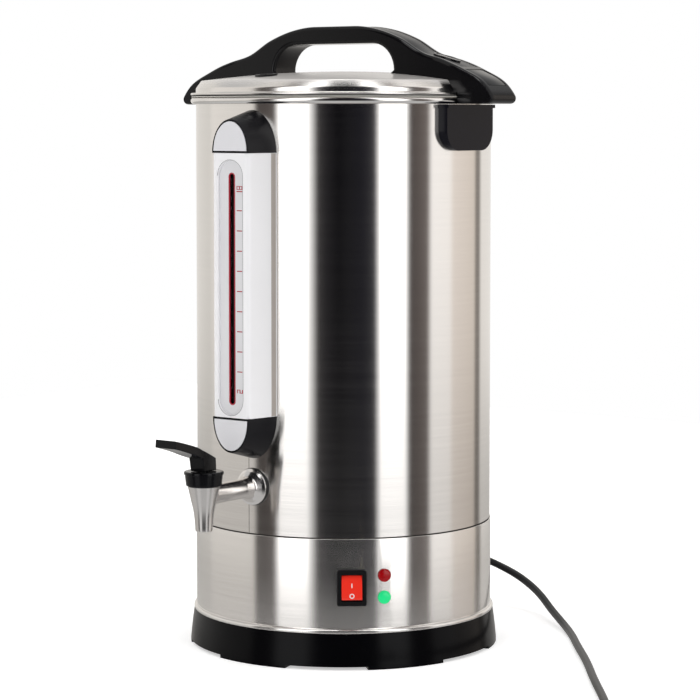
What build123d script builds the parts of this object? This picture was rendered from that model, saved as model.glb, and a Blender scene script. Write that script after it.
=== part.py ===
from build123d import *
import math
import os

# A free-standing hot water urn. Millimetres, +Z up, the vessel's axis at the origin
# on the surface it stands on. The tap and the level gauge face -Y, and the lid's
# handle lies along X. Angles round the vessel count from -Y towards +X.

# ---- Vessel ----
shell_radius = 133.0  # outside of the outer shell
lower_step = 0.8
lower_radius = shell_radius + lower_step  # outside of the lower shell
shell_wall = 0.6
flange_flare = 2.4
flange_radius = lower_radius + flange_flare  # the polished flare over the base
flange_height = 3.5
flare_height = 3.2
flange_wall = 0.8
seam_height = 113.0  # top edge of the lower shell
seam_lap = 6.0
tap_height = 155.0  # the axis of the tap's shank
tank_gap = 6.5  # from the outer shell's face to the tank's
tank_radius = shell_radius - tank_gap
tank_wall = 0.6
tank_inside = tank_radius - tank_wall
tank_floor = seam_height + 9.0  # underside of the tank's floor
tank_floor_wall = 0.8
rim_height = 493.0
rim_overhang = 4.8
rim_radius = shell_radius + rim_overhang
rim_bead = 3.0  # radius of the rolled edge
rim_wall = 0.8
base_screw_radius = 2.0
base_screw_start = 30.0  # half way between two feet
base_screw_end = 1.6  # what shows past the nut
base_nut_height = 3.2
cut_reach = 8.0  # how far a hole's cut goes to each side of a shell
thread_end = 1.0  # how far a thread stands past its nut
slip = 0.05  # between pieces that are seated on each other
screw_play = 0.15

# ---- Foot base ----
base_height = 31.0
base_inset = 0.2
base_top_radius = flange_radius - base_inset
base_flare = 3.4
base_bottom_radius = base_top_radius + base_flare
base_bulge = 0.62  # share of the base's flare that is reached half way down
base_wall = 3.0
base_hollow = 24.0  # from the base's upper edge in to its inner ring
base_hole_radius = base_top_radius - base_hollow
flange_lap = 6.0
inner_flange_radius = base_hole_radius + flange_lap
base_ring_wall = 4.0
foot_count = 6
foot_arc = 30.0
foot_recess = 2.8  # how far the rim between two feet stands off the surface
foot_block = 8.0
plate_ledge_width = 8.0
plate_ledge_height = 6.0  # underside of the ledge that the bottom plate closes
plate_ledge_thickness = 3.0
plate_wall = 1.2
plate_play = 0.3
plate_screw_radius = 2.0
plate_screw_count = 4
plate_screw_start = 45.0
plate_boss_radius = 3.8
plate_boss_height = 7.0

# ---- Heater, under the tank's floor ----
heater_plate_radius = 80.0
heater_plate_wall = 3.0
ring_radius = 58.0
ring_width = 8.0
ring_depth = 7.0
ring_arc = 300.0
pin_radius = 3.0
pin_length = 14.0
pin_inset = 3.0  # degrees from the ring's end
stud_radius = 4.0
stud_length = 25.0
clamp_length = 140.0
clamp_width = 24.0
clamp_wall = 2.0
heater_nut_height = 6.5
heater_nut_radius = 7.5
thermostat_radius = 8.0
thermostat_body_radius = 7.2
thermostat_cap = 6.0
thermostat_base = 10.0
thermostat_offset = 34.0
blade_width = 6.3
blade_wall = 0.8
blade_length = 8.0

# ---- Boil-dry cut-out and terminal block, on the bottom plate ----
cutout_offset = 52.0  # along both X and Y
cutout_size = (30.0, 24.0, 20.0)
neck_radius = 5.0
neck_length = 3.0  # below the cut-out's body
bulb_radius = 3.0
bulb_length = 46.0
capillary_radius = 0.8
button_radius = 2.9
button_length = 10.0
button_bore = 14.0
button_play = 0.08
button_proud = 0.8
block_place = (-40.0, 40.0)
block_size = (30.0, 18.0, 14.0)

# ---- Controls on the lower shell ----
switch_angle = 39.3
switch_height = 70.9
bezel_width = 25.5
bezel_length = 31.0
bezel_wall = 2.0
bezel_round = 1.5
switch_body_width = 21.6
switch_body_length = 28.0
switch_body_depth = 22.0
switch_fit = 0.3
rocker_width = 17.7
rocker_radius = 11.4  # the circle that the rocker turns within
rocker_face = 4.2  # its front, from the pivot
rocker_half_length = 10.6
rocker_bevel = (1.8, 5.6)  # depth and length of the slope at its upper end
rocker_chamfer = (0.8, 1.6)
rocker_back = (7.0, 8.5)  # depth behind the pivot and half length there
rocker_play = 0.2
rocker_pivot_depth = -1.0
rocker_tilt = 9.0
rocker_pin_radius = 1.5
rocker_pin_reach = 1.0
rocker_well = 14.0
lamp_angle = 51.5
red_lamp_height = 81.2
green_lamp_height = 62.1
lens_radius = 5.8
lens_rim = 1.2
lens_dome = 1.2
lens_stem_radius = 3.5
lens_stem = 4.0
holder_radius = 4.9
holder_length = 18.0
lamp_nut_radius = 7.5
lamp_nut_height = 3.2

# ---- Level gauge ----
gauge_depth = 30.6
cover_front = shell_radius + gauge_depth  # the cover's front face, from the vessel's axis
cover_front_width = 39.4
cover_back_width = 50.0
cover_wall = 2.5
cover_round = 5.0
cover_draft = 0.5
cap_length = 38.0
cap_slope = 9.2  # how far a cap's end slants back towards the panel at its front
cap_top = rim_height - 10.0
panel_top = cap_top - cap_length
cap_bottom = tap_height + 23.5
panel_bottom = 218.0
window_width = 27.0
window_bottom = panel_bottom + 2.0
window_top = panel_top - 6.0
scale_wall = 1.2
scale_margin = 1.8
slit_width = 6.5
slit_bottom = window_bottom + 9.0
slit_top = window_top - 11.0
glass_radius = 3.5
glass_wall = 1.0
glass_gap = 0.6  # behind the scale plate
fitting_inset = 15.0  # from the panel's end to a fitting's axis
fitting_low = panel_bottom - fitting_inset
fitting_high = panel_top + fitting_inset
fitting_radius = 4.4
fitting_bore = 2.6
barrel_bore = 2.0
socket_radius = 5.2
socket_length = 13.0
seal_radius = 4.5
seal_length = 8.0
gauge_nut_radius = 9.0
gauge_nut_height = 5.0
washer_wall = 1.5
inlay_margin = 1.8
inlay_wall = 1.2
inlay_depth = 0.8  # recess in the cap's front

# ---- Tap ----
tap_length = 67.0
tap_reach = shell_radius + tap_length  # the spout's axis, from the vessel's axis
shank_radius = 8.5
shank_bore = 5.0
shank_thread_radius = 8.0
tap_flange_radius = 15.4
tap_flange_wall = 2.5
tap_flange_step = 1.0
tap_cone_length = 8.0
gasket_radius = 16.4
gasket_wall = 2.0
gasket_front = shell_radius + gasket_wall
spout_bottom = tap_height - 30.0
spout_radius = 7.4
spout_waist_radius = 9.2
spout_waist_height = spout_bottom + 18.7
spout_hollow = 0.5
spout_top_radius = 13.9
spout_top_height = tap_height + 9.0
spout_bore = 5.4
valve_bore = 7.6
seat_height = tap_height - 9.0
seat_rise = 2.2
neck_top = spout_top_height + 8.5
neck_outer_radius = 12.0
bonnet_top = neck_top + 3.9
bonnet_top_radius = 16.9
bonnet_bottom_radius = 14.9
bonnet_wall = 2.4
bonnet_edge = (1.0, 1.5)
stem_radius = 2.5
collar_height = 1.5
cup_radius = 6.9
cup_height = 9.0
cup_floor = 2.0
cup_lip = 0.4
spring_radius = 5.2
spring_wire = 0.55
spring_turns = 4
pivot_height = bonnet_top + 6.1
pivot_radius = 1.5
pivot_play = 0.05
lever_play = 0.3
lever_turn = 25.0
hub_half_width = 7.5
hub_front = 9.0  # from the stem's axis towards -Y
hub_rear = 7.5
hub_rear_rise = 4.8  # the hub's rear edge over the pivot
hub_front_rise = 8.5  # the arm's root over the pivot
hub_draft = 0.6
lever_tip = 50.0  # from the stem's axis to the tip
lever_rise = 25.1  # the tip's upper edge over the pivot
lever_wall = 6.8
lever_half_width = 11.0
lever_waist = 21.6  # where the paddle has its full width
# Shares of the tip's reach and rise, along the arm's upper and lower lines
lever_upper = ((0.2, 0.5), (0.45, 0.765), (0.75, 0.95))
lever_lower = ((0.8, 0.68), (0.5, 0.49))
tap_nut_radius = 14.0
tap_nut_height = 8.0

# ---- Side brackets ----
bracket_depth = 4.2
bracket_front = shell_radius + bracket_depth
bracket_top = rim_height - 6.6
bracket_length = 40.0
bracket_bottom = bracket_top - bracket_length
bracket_half_width = 36.0
bracket_corner = 18.0
bracket_lip = 3.0
bracket_lip_proud = 1.8
bracket_screw_spread = 36.0
bracket_screw_height = bracket_top - 20.0
bracket_screw_radius = 2.5
bracket_screw_depth = 3.0
screw_head_height = 2.6
bracket_head_radius = 4.5

# ---- Lid ----
lid_gap = 1.0
lid_height = rim_height + lid_gap  # underside of the lid's edge
lid_edge = 3.0
lid_inset = 4.6
lid_radius = rim_radius - lid_inset
lid_wall = 0.7
lid_shoulder = lid_height + 6.6
dome_height = lid_height + 22.4
dome_rise = 8.6
dome_inset = 5.6
dome_edge_radius = lid_radius - dome_inset
seal_gap = 0.15
seal_inset = 1.0
seal_ring_inner = tank_inside - seal_inset
seal_skirt_wall = 0.7
seal_skirt_depth = 7.0
vent_flange = 1.5
vent_radius_out = 10.0
vent_radius_in = 6.5
vent_place = (-13.5, -95.9)
vent_hole = 8.5

# ---- Lid handle ----
handle_rise = 40.2
handle_top = dome_height + handle_rise
handle_flat = 22.0
handle_shoulder = (44.0, handle_top - 2.5)
handle_knee = (72.0, handle_top - 11.5)
handle_hip = (97.0, handle_top - 24.9)
wing_root = (rim_radius - 19.8, handle_top - 30.6)
wing_crest = (rim_radius + 2.2, handle_top - 39.1)
wing_edge = (rim_radius + 26.2, handle_top - 52.6)
wing_tip = (rim_radius + 36.2, handle_top - 67.6)
wing_bottom = wing_tip[1] - 2.0
handle_width = 34.0
wing_width = 40.0
wing_start = rim_radius - 13.8
wing_wall = 2.8
wing_roof = 3.8
finger_half_length = 66.0
finger_top = handle_top - 15.6
finger_round = 24.0
lid_clearance = 0.15
rim_clearance = 0.45
strip_half_length = rim_radius - 1.8
strip_width = 23.0
strip_wall = 0.9
strip_depth = 1.2
panel_start = rim_radius + 3.2
panel_end = rim_radius + 27.2
panel_width = 29.0
handle_screw_places = (-112.0, -82.0, 82.0, 112.0)
handle_screw_radius = 2.5
handle_screw_length = 9.0
handle_head_radius = 4.8

# ---- Power cord ----
gland_height = 59.0
gland_radius = 9.5
gland_wall = 3.0
gland_tail_radius = 5.2
gland_tail = 14.0
gland_body_radius = 7.0
gland_body_length = 12.0
gland_step = (1.5, 0.7)  # tail wider at its root and slimmer at its end
cord_diameter = 7.0
cord_rest = cord_diameter / 2
arc_share = 0.45  # of the shorter run beside a corner, taken by its arc
cord_route = [
    (0, 172, gland_height),
    (9.5, 193.4, 52),
    (30.6, 207.2, 42),
    (54.3, 210.5, 32.5),
    (77.1, 203.1, 24),
    (96.8, 189.3, 18),
    (114, 175, 12),
    (133, 158.5, 7.8),
    (152, 141, 4.4),
    (173, 117, cord_rest),
    (202, 78.5, cord_rest),
    (241, 29, cord_rest),
    (280, -25.5, cord_rest),
    (321, -79.5, cord_rest),
    (354, -125.5, cord_rest),
]
coil_radius = 40.0
coil_turn_gap = 0.3
coil_center = (348.0, -191.0)
coil_enter_angle = 36.0
coil_leave_angle = -20.0
tail_length = 54.0
tail_shares = (0.28, 0.72)  # where the tail's two bends lie
plug_radius = 18.5
plug_length = 36.0
plug_neck_radius = 6.0
plug_neck_length = 22.0
plug_pin_radius = 2.4
plug_pin_length = 19.0
plug_pin_spread = 19.0
core_diameter = 2.4
wire_rise = 12.0


def wall_plane(angle, height, radius):
    """A plane on the vessel's side, with z outwards and y up."""
    turn = math.radians(angle)
    out = Vector(math.sin(turn), -math.cos(turn), 0)
    return Plane(
        origin=(radius * out.X, radius * out.Y, height),
        x_dir=(math.cos(turn), math.sin(turn), 0),
        z_dir=out,
    )


def dome_drop(radius, distance):
    """How far a sphere of that radius falls away from its top."""
    return radius - math.sqrt(radius**2 - distance**2)


def finish(part, name):
    part.label = name
    export_step(part, f"parts/{name}.step")


os.makedirs("parts", exist_ok=True)

# ================= Foot base =================
base_ring_radius = base_hole_radius + base_ring_wall
base_screw_circle = (base_ring_radius + base_top_radius - base_wall) / 2
ledge_inner = base_hole_radius - plate_ledge_width
plate_screw_circle = base_hole_radius - plate_ledge_width / 2
plate_top = plate_ledge_height

with BuildPart() as foot_base:
    with BuildSketch(Plane.XZ):
        with BuildLine():
            Polyline(
                (base_bottom_radius, foot_recess),
                (base_bottom_radius - base_wall, foot_recess),
                (base_top_radius - base_wall, base_height - base_wall),
                (base_ring_radius, base_height - base_wall),
                (base_ring_radius, 0),
                (base_hole_radius, 0),
                (base_hole_radius, base_height),
                (base_top_radius, base_height),
            )
            ThreePointArc(
                (base_top_radius, base_height),
                (base_top_radius + (base_bottom_radius - base_top_radius) * base_bulge, base_height / 2),
                (base_bottom_radius, foot_recess),
            )
        make_face()
    revolve(axis=Axis.Z)
    # The ledge that the bottom plate closes
    with BuildSketch(Plane.XZ):
        with Locations((ledge_inner, plate_ledge_height)):
            Rectangle(
                plate_ledge_width + base_ring_wall / 2,
                plate_ledge_thickness,
                align=(Align.MIN, Align.MIN),
            )
    revolve(axis=Axis.Z)
    # Feet
    for foot in range(foot_count):
        with BuildSketch(Plane.XZ.rotated((0, 0, 360 / foot_count * foot - 90 - foot_arc / 2))):
            Polygon(
                (base_ring_radius - base_ring_wall / 2, 0),
                (base_bottom_radius, 0),
                (base_bottom_radius, foot_recess),
                (base_bottom_radius - base_wall / 2, foot_recess),
                (base_bottom_radius - base_wall / 2, foot_block),
                (base_ring_radius - base_ring_wall / 2, foot_block),
                align=None,
            )
        revolve(axis=Axis.Z, revolution_arc=foot_arc)
    with BuildSketch(Plane.XY.offset(plate_ledge_height + plate_ledge_thickness)):
        with PolarLocations(plate_screw_circle, plate_screw_count, start_angle=plate_screw_start):
            Circle(plate_boss_radius)
    extrude(amount=plate_boss_height)
    with BuildSketch(Plane.XY.offset(plate_ledge_height)):
        with PolarLocations(plate_screw_circle, plate_screw_count, start_angle=plate_screw_start):
            Circle(plate_screw_radius + slip)
    extrude(amount=plate_ledge_thickness + plate_boss_height, mode=Mode.SUBTRACT)
    with BuildSketch(Plane.XY.offset(base_height - base_wall)):
        with PolarLocations(base_screw_circle, foot_count, start_angle=base_screw_start):
            Circle(base_screw_radius + screw_play)
    extrude(amount=base_wall, mode=Mode.SUBTRACT)
finish(foot_base.part, "foot_base")

with BuildPart() as bottom_plate:
    with BuildSketch(Plane.XY.offset(plate_top - plate_wall)):
        Circle(base_hole_radius - plate_play)
        with PolarLocations(plate_screw_circle, plate_screw_count, start_angle=plate_screw_start):
            Circle(plate_screw_radius + screw_play, mode=Mode.SUBTRACT)
        with Locations((cutout_offset, cutout_offset)):
            Circle(neck_radius + screw_play, mode=Mode.SUBTRACT)
    extrude(amount=plate_wall)
finish(bottom_plate.part, "bottom_plate")

flange_top = base_height + flange_wall
plate_bottom_face = plate_top - plate_wall
screw_rows = (
    (plate_screw_radius, plate_screw_circle, plate_screw_count, plate_screw_start,
     plate_bottom_face, plate_wall + plate_ledge_thickness + plate_boss_height),
    (base_screw_radius, base_screw_circle, foot_count, base_screw_start,
     base_height - base_wall, base_wall + flange_wall + base_nut_height + base_screw_end),
)
with BuildPart() as base_screws:
    for radius, circle, count, start, seat, length in screw_rows:
        with BuildSketch(Plane.XY.offset(seat - screw_head_height)):
            with PolarLocations(circle, count, start_angle=start):
                Circle(2 * radius)
        extrude(amount=screw_head_height)
        with BuildSketch(Plane.XY.offset(seat)):
            with PolarLocations(circle, count, start_angle=start):
                Circle(radius)
        extrude(amount=length)
finish(base_screws.part, "base_screws")

with BuildPart() as base_nuts:
    with BuildSketch(Plane.XY.offset(flange_top)):
        with PolarLocations(base_screw_circle, foot_count, start_angle=base_screw_start):
            RegularPolygon(2 * base_screw_radius, 6)
            Circle(base_screw_radius + slip, mode=Mode.SUBTRACT)
    extrude(amount=base_nut_height)
finish(base_nuts.part, "base_nuts")

# ================= Shells and tank =================
switch_plane = wall_plane(switch_angle, switch_height, lower_radius)
lamp_planes = {
    "red": wall_plane(lamp_angle, red_lamp_height, lower_radius),
    "green": wall_plane(lamp_angle, green_lamp_height, lower_radius),
}
gland_plane = wall_plane(180, gland_height, lower_radius)
tap_plane = wall_plane(0, tap_height, shell_radius)
fitting_planes = [wall_plane(0, height, shell_radius) for height in (fitting_low, fitting_high)]
flange_bottom_top = base_height + flange_height

with BuildPart() as lower_shell:
    with BuildSketch(Plane.XZ):
        Polygon(
            (inner_flange_radius, base_height),
            (flange_radius, base_height),
            (flange_radius, flange_bottom_top),
            (lower_radius, flange_bottom_top + flare_height),
            (lower_radius, seam_height),
            (lower_radius - shell_wall, seam_height),
            (lower_radius - shell_wall, flange_bottom_top + flare_height),
            (flange_radius - flange_wall, flange_bottom_top),
            (flange_radius - flange_wall, flange_top),
            (inner_flange_radius, flange_top),
            align=None,
        )
    revolve(axis=Axis.Z)
    with BuildSketch(Plane.XY.offset(base_height)):
        with PolarLocations(base_screw_circle, foot_count, start_angle=base_screw_start):
            Circle(base_screw_radius + screw_play)
    extrude(amount=flange_wall, mode=Mode.SUBTRACT)
    with BuildSketch(switch_plane):
        Rectangle(switch_body_width + switch_fit, switch_body_length + switch_fit)
    extrude(amount=cut_reach, both=True, mode=Mode.SUBTRACT)
    for plane in lamp_planes.values():
        with BuildSketch(plane):
            Circle(holder_radius + screw_play)
        extrude(amount=cut_reach, both=True, mode=Mode.SUBTRACT)
    with BuildSketch(gland_plane):
        Circle(gland_body_radius + screw_play)
    extrude(amount=cut_reach, both=True, mode=Mode.SUBTRACT)
finish(lower_shell.part, "lower_shell")

shell_top = rim_height - rim_wall - slip
with BuildPart() as outer_shell:
    with BuildSketch(Plane.XY.offset(seam_height - seam_lap)):
        Circle(shell_radius)
        Circle(shell_radius - shell_wall, mode=Mode.SUBTRACT)
    extrude(amount=shell_top - seam_height + seam_lap)
    with BuildSketch(tap_plane):
        Circle(shank_thread_radius + screw_play)
    extrude(amount=cut_reach / 2, both=True, mode=Mode.SUBTRACT)
    for plane in fitting_planes:
        with BuildSketch(plane):
            Circle(fitting_radius + screw_play)
        extrude(amount=cut_reach / 2, both=True, mode=Mode.SUBTRACT)
    for side in (90, -90):
        with BuildSketch(wall_plane(side, bracket_screw_height, shell_radius)):
            with GridLocations(bracket_screw_spread, 0, 2, 1):
                Circle(bracket_screw_radius + screw_play)
        extrude(amount=cut_reach, both=True, mode=Mode.SUBTRACT)
finish(outer_shell.part, "outer_shell")

with BuildPart() as inner_tank:
    with BuildSketch(Plane.XZ):
        Polygon(
            (0, tank_floor),
            (tank_radius, tank_floor),
            (tank_radius, rim_height - rim_wall),
            (rim_radius - rim_bead, rim_height - rim_wall),
            (rim_radius - rim_bead, rim_height),
            (tank_inside, rim_height),
            (tank_inside, tank_floor + tank_floor_wall),
            (0, tank_floor + tank_floor_wall),
            align=None,
        )
        with Locations((rim_radius - rim_bead, rim_height - rim_bead)):
            Circle(rim_bead)
        with Locations((shell_radius + slip, rim_height - 2 * rim_bead)):
            Rectangle(
                rim_radius - rim_bead - shell_radius - slip,
                2 * rim_bead,
                align=(Align.MIN, Align.MIN),
            )
        # The rolled edge stays clear of the outer shell that it grips
        with Locations((0, rim_height - 4 * rim_bead)):
            Rectangle(
                shell_radius + slip,
                4 * rim_bead - rim_wall,
                align=(Align.MIN, Align.MIN),
                mode=Mode.SUBTRACT,
            )
        with Locations((tank_inside, rim_height - 4 * rim_bead)):
            Rectangle(tank_wall, 4 * rim_bead, align=(Align.MIN, Align.MIN))
    revolve(axis=Axis.Z)
    with BuildSketch(Plane.XY.offset(tank_floor - stud_length)):
        Circle(stud_radius)
    extrude(amount=stud_length)
    with BuildSketch(tap_plane):
        Circle(shank_thread_radius + screw_play)
    extrude(amount=tank_inside - shell_radius - cut_reach / 4, mode=Mode.SUBTRACT)
    for plane in fitting_planes:
        with BuildSketch(plane):
            Circle(fitting_radius + screw_play)
        extrude(amount=tank_inside - shell_radius - cut_reach / 4, mode=Mode.SUBTRACT)
finish(inner_tank.part, "inner_tank")

# ================= Heater =================
plate_bottom = tank_floor - heater_plate_wall
ring_bottom = plate_bottom - ring_depth

with BuildPart() as heater_plate:
    with BuildSketch(Plane.XY.offset(plate_bottom)):
        Circle(heater_plate_radius)
        Circle(stud_radius + screw_play, mode=Mode.SUBTRACT)
    extrude(amount=heater_plate_wall)
finish(heater_plate.part, "heater_plate")

ring_start = 90 + (360 - ring_arc) / 2
pin_start = ring_start + pin_inset
with BuildPart() as heater_ring:
    with BuildSketch(Plane.XZ.rotated((0, 0, ring_start))):
        with Locations((ring_radius, ring_bottom + ring_depth / 2)):
            RectangleRounded(ring_width, ring_depth, ring_width / 4)
    revolve(axis=Axis.Z, revolution_arc=ring_arc)
    with BuildSketch(Plane.XY.offset(ring_bottom - pin_length)):
        with PolarLocations(ring_radius, 2, pin_start, ring_arc - 2 * pin_inset, endpoint=True):
            Circle(pin_radius)
    extrude(amount=pin_length + ring_depth / 2)
finish(heater_ring.part, "heater_ring")

with BuildPart() as heater_clamp:
    with BuildSketch(Plane.XY.offset(ring_bottom - clamp_wall)):
        SlotOverall(clamp_length, clamp_width)
        Circle(stud_radius + screw_play, mode=Mode.SUBTRACT)
    extrude(amount=clamp_wall)
finish(heater_clamp.part, "heater_clamp")

with BuildPart() as heater_nut:
    with BuildSketch(Plane.XY.offset(ring_bottom - clamp_wall - heater_nut_height)):
        RegularPolygon(heater_nut_radius, 6)
        Circle(stud_radius + slip, mode=Mode.SUBTRACT)
    extrude(amount=heater_nut_height)
finish(heater_nut.part, "heater_nut")

blade_top = plate_bottom - thermostat_cap - thermostat_base
for name, place in (("boil_thermostat", thermostat_offset), ("warm_thermostat", -thermostat_offset)):
    with BuildPart() as thermostat:
        with BuildSketch(Plane.XY.offset(plate_bottom - thermostat_cap)):
            with Locations((0, place)):
                Circle(thermostat_radius)
        extrude(amount=thermostat_cap)
        with BuildSketch(Plane.XY.offset(blade_top)):
            with Locations((0, place)):
                Circle(thermostat_body_radius)
        extrude(amount=thermostat_base)
        with BuildSketch(Plane.XY.offset(blade_top - blade_length)):
            with Locations((0, place)):
                with GridLocations(thermostat_radius, 0, 2, 1):
                    Rectangle(blade_wall, blade_width)
        extrude(amount=blade_length)
    finish(thermostat.part, name)

# ================= Cut-out, reset button and terminal block =================
cutout_top = plate_top + cutout_size[2]
neck_bottom = plate_top - neck_length
with BuildPart() as thermal_cutout:
    with BuildSketch(Plane.XY.offset(plate_top)):
        with Locations((cutout_offset, cutout_offset)):
            Rectangle(cutout_size[0], cutout_size[1])
    extrude(amount=cutout_size[2])
    with BuildSketch(Plane.XY.offset(neck_bottom)):
        with Locations((cutout_offset, cutout_offset)):
            Circle(neck_radius)
    extrude(amount=neck_length)
    with BuildSketch(Plane.XY.offset(neck_bottom)):
        with Locations((cutout_offset, cutout_offset)):
            Circle(button_radius + button_play)
    extrude(amount=button_bore, mode=Mode.SUBTRACT)
    # The capillary and its bulb, which lies under the heater plate
    with BuildSketch(Plane.XY.offset(cutout_top)):
        with Locations((cutout_offset, cutout_offset)):
            Circle(capillary_radius)
    extrude(amount=plate_bottom - bulb_radius - cutout_top)
    bulb_plane = Plane(
        origin=(cutout_offset, cutout_offset, plate_bottom - bulb_radius),
        x_dir=(0, 0, 1),
        z_dir=(-1, 1, 0),
    )
    with BuildSketch(bulb_plane):
        Circle(bulb_radius)
    extrude(amount=bulb_length / 2, both=True)
finish(thermal_cutout.part, "thermal_cutout")

with BuildPart() as reset_button:
    with BuildSketch(Plane.XY.offset(neck_bottom - button_proud)):
        with Locations((cutout_offset, cutout_offset)):
            Circle(button_radius)
    extrude(amount=button_length)
finish(reset_button.part, "reset_button")

with BuildPart() as terminal_block:
    with BuildSketch(Plane.XY.offset(plate_top)):
        with Locations(block_place):
            Rectangle(block_size[0], block_size[1])
    extrude(amount=block_size[2])
    with BuildSketch(Plane.XY.offset(plate_top + block_size[2] / 2)):
        with Locations(block_place):
            with GridLocations(block_size[0] / 3, block_size[1] / 2, 3, 2):
                Circle(base_screw_radius)
    extrude(amount=block_size[2], mode=Mode.SUBTRACT)
finish(terminal_block.part, "terminal_block")

# ================= Switch and lamps =================
well_half_length = rocker_radius + rocker_play
with BuildPart() as switch_body:
    with BuildSketch(switch_plane.offset(slip)):
        RectangleRounded(bezel_width, bezel_length, bezel_round)
    extrude(amount=bezel_wall)
    with BuildSketch(switch_plane.offset(slip)):
        Rectangle(switch_body_width, switch_body_length)
    extrude(amount=-switch_body_depth)
    with BuildSketch(switch_plane.offset(slip + bezel_wall)):
        Rectangle(rocker_width + 2 * rocker_play, 2 * well_half_length)
    extrude(amount=-rocker_well, mode=Mode.SUBTRACT)
    pivot_plane = Plane(
        origin=switch_plane.offset(rocker_pivot_depth).origin,
        x_dir=switch_plane.z_dir,
        z_dir=-switch_plane.x_dir,
    )
    with BuildSketch(pivot_plane):
        Circle(rocker_pin_radius + slip)
    extrude(
        amount=rocker_width / 2 + rocker_pin_reach + 2 * slip + rocker_play,
        both=True,
        mode=Mode.SUBTRACT,
    )
finish(switch_body.part, "switch_body")

# At rest its upper end is pressed in, which is on
rocker_turn = math.radians(rocker_tilt)
tilted_plane = Plane(
    origin=pivot_plane.origin,
    x_dir=switch_plane.z_dir * math.cos(rocker_turn) + switch_plane.y_dir * math.sin(rocker_turn),
    z_dir=pivot_plane.z_dir,
)
with BuildPart() as switch_rocker:
    with BuildSketch(tilted_plane):
        Polygon(
            (rocker_face, rocker_half_length - rocker_bevel[1]),
            (rocker_face - rocker_bevel[0], rocker_half_length),
            (-rocker_back[0], rocker_back[1]),
            (-rocker_back[0], -rocker_back[1]),
            (rocker_face - rocker_chamfer[0], -rocker_half_length),
            (rocker_face, rocker_chamfer[1] - rocker_half_length),
            align=None,
        )
    extrude(amount=rocker_width / 2, both=True)
    with BuildSketch(pivot_plane):
        Circle(rocker_pin_radius)
    extrude(amount=rocker_width / 2 + rocker_pin_reach + rocker_play, both=True)
finish(switch_rocker.part, "switch_rocker")

with BuildPart() as switch_terminals:
    with BuildSketch(switch_plane.offset(slip - switch_body_depth)):
        with GridLocations(switch_body_width / 2, switch_body_length / 2, 2, 2):
            Rectangle(blade_width, blade_wall)
    extrude(amount=-blade_length)
finish(switch_terminals.part, "switch_terminals")

for name, plane in lamp_planes.items():
    with BuildPart() as lamp_lens:
        with BuildSketch(plane.offset(slip)):
            Circle(lens_radius)
        extrude(amount=lens_rim + lens_dome)
        fillet(lamp_lens.faces().sort_by(Axis(plane.origin, plane.z_dir))[-1].edges(), lens_dome)
        with BuildSketch(plane.offset(slip)):
            Circle(lens_stem_radius)
        extrude(amount=-lens_stem)
    finish(lamp_lens.part, f"{name}_lamp")

with BuildPart() as lamp_holders:
    for plane in lamp_planes.values():
        with BuildSketch(plane):
            Circle(holder_radius)
            Circle(lens_stem_radius + slip, mode=Mode.SUBTRACT)
        extrude(amount=-holder_length)
        with BuildSketch(plane.offset(-holder_length)):
            Circle(holder_radius)
        extrude(amount=holder_length - lens_stem - 2 * slip)
finish(lamp_holders.part, "lamp_holders")

lamp_nut_gap = shell_wall + dome_drop(lower_radius - shell_wall, lamp_nut_radius) + slip
with BuildPart() as lamp_nuts:
    for plane in lamp_planes.values():
        with BuildSketch(plane.offset(-lamp_nut_gap)):
            RegularPolygon(lamp_nut_radius, 6)
            Circle(holder_radius + slip, mode=Mode.SUBTRACT)
        extrude(amount=-lamp_nut_height)
finish(lamp_nuts.part, "lamp_nuts")

# ================= Level gauge =================
cover_back = math.sqrt((shell_radius + 2 * slip) ** 2 - (cover_back_width / 2) ** 2)


def cover_section():
    """The cover's outline across the gauge, hollow behind."""
    with BuildSketch() as section:
        with BuildLine():
            ThreePointArc(
                (-cover_back_width / 2, -cover_back),
                (0, -shell_radius - 2 * slip),
                (cover_back_width / 2, -cover_back),
            )
            Polyline(
                (cover_back_width / 2, -cover_back),
                (cover_front_width / 2, -cover_front),
                (-cover_front_width / 2, -cover_front),
                (-cover_back_width / 2, -cover_back),
            )
        make_face()
        fillet(section.vertices().group_by(Axis.Y)[0], cover_round)
    return section.sketch


pocket_front = cover_front - cover_wall
pocket_half_front = cover_front_width / 2 - cover_wall - cover_draft
pocket_half_back = cover_back_width / 2 - cover_wall - 2 * cover_draft


def pocket_section():
    """The hollow behind the cover's walls."""
    with BuildSketch() as section:
        Polygon(
            (-pocket_half_back, -cover_back + cover_wall),
            (-pocket_half_front, -pocket_front),
            (pocket_half_front, -pocket_front),
            (pocket_half_back, -cover_back + cover_wall),
            align=None,
        )
    return section.sketch


window_length = window_top - window_bottom
window_middle = (window_top + window_bottom) / 2
scale_front = pocket_front - slip

with BuildPart() as gauge_cover:
    with BuildSketch(Plane.XY.offset(panel_bottom + slip)):
        add(cover_section())
        add(pocket_section(), mode=Mode.SUBTRACT)
    extrude(amount=panel_top - panel_bottom - 2 * slip)
    with BuildSketch(Plane.XZ.offset(pocket_front)):
        with Locations((0, window_middle)):
            SlotOverall(window_length, window_width, rotation=90)
    extrude(amount=2 * cover_wall, mode=Mode.SUBTRACT)
finish(gauge_cover.part, "gauge_cover")

slit_length = slit_top - slit_bottom
slit_middle = (slit_top + slit_bottom) / 2
with BuildPart() as gauge_scale:
    with BuildSketch(Plane.XZ.offset(scale_front - scale_wall)):
        with Locations((0, window_middle)):
            SlotOverall(
                window_length + 2 * scale_margin,
                window_width + 2 * scale_margin,
                rotation=90,
            )
        with Locations((0, slit_middle)):
            SlotOverall(slit_length, slit_width, rotation=90, mode=Mode.SUBTRACT)
    extrude(amount=scale_wall)
finish(gauge_scale.part, "gauge_scale")

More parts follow.
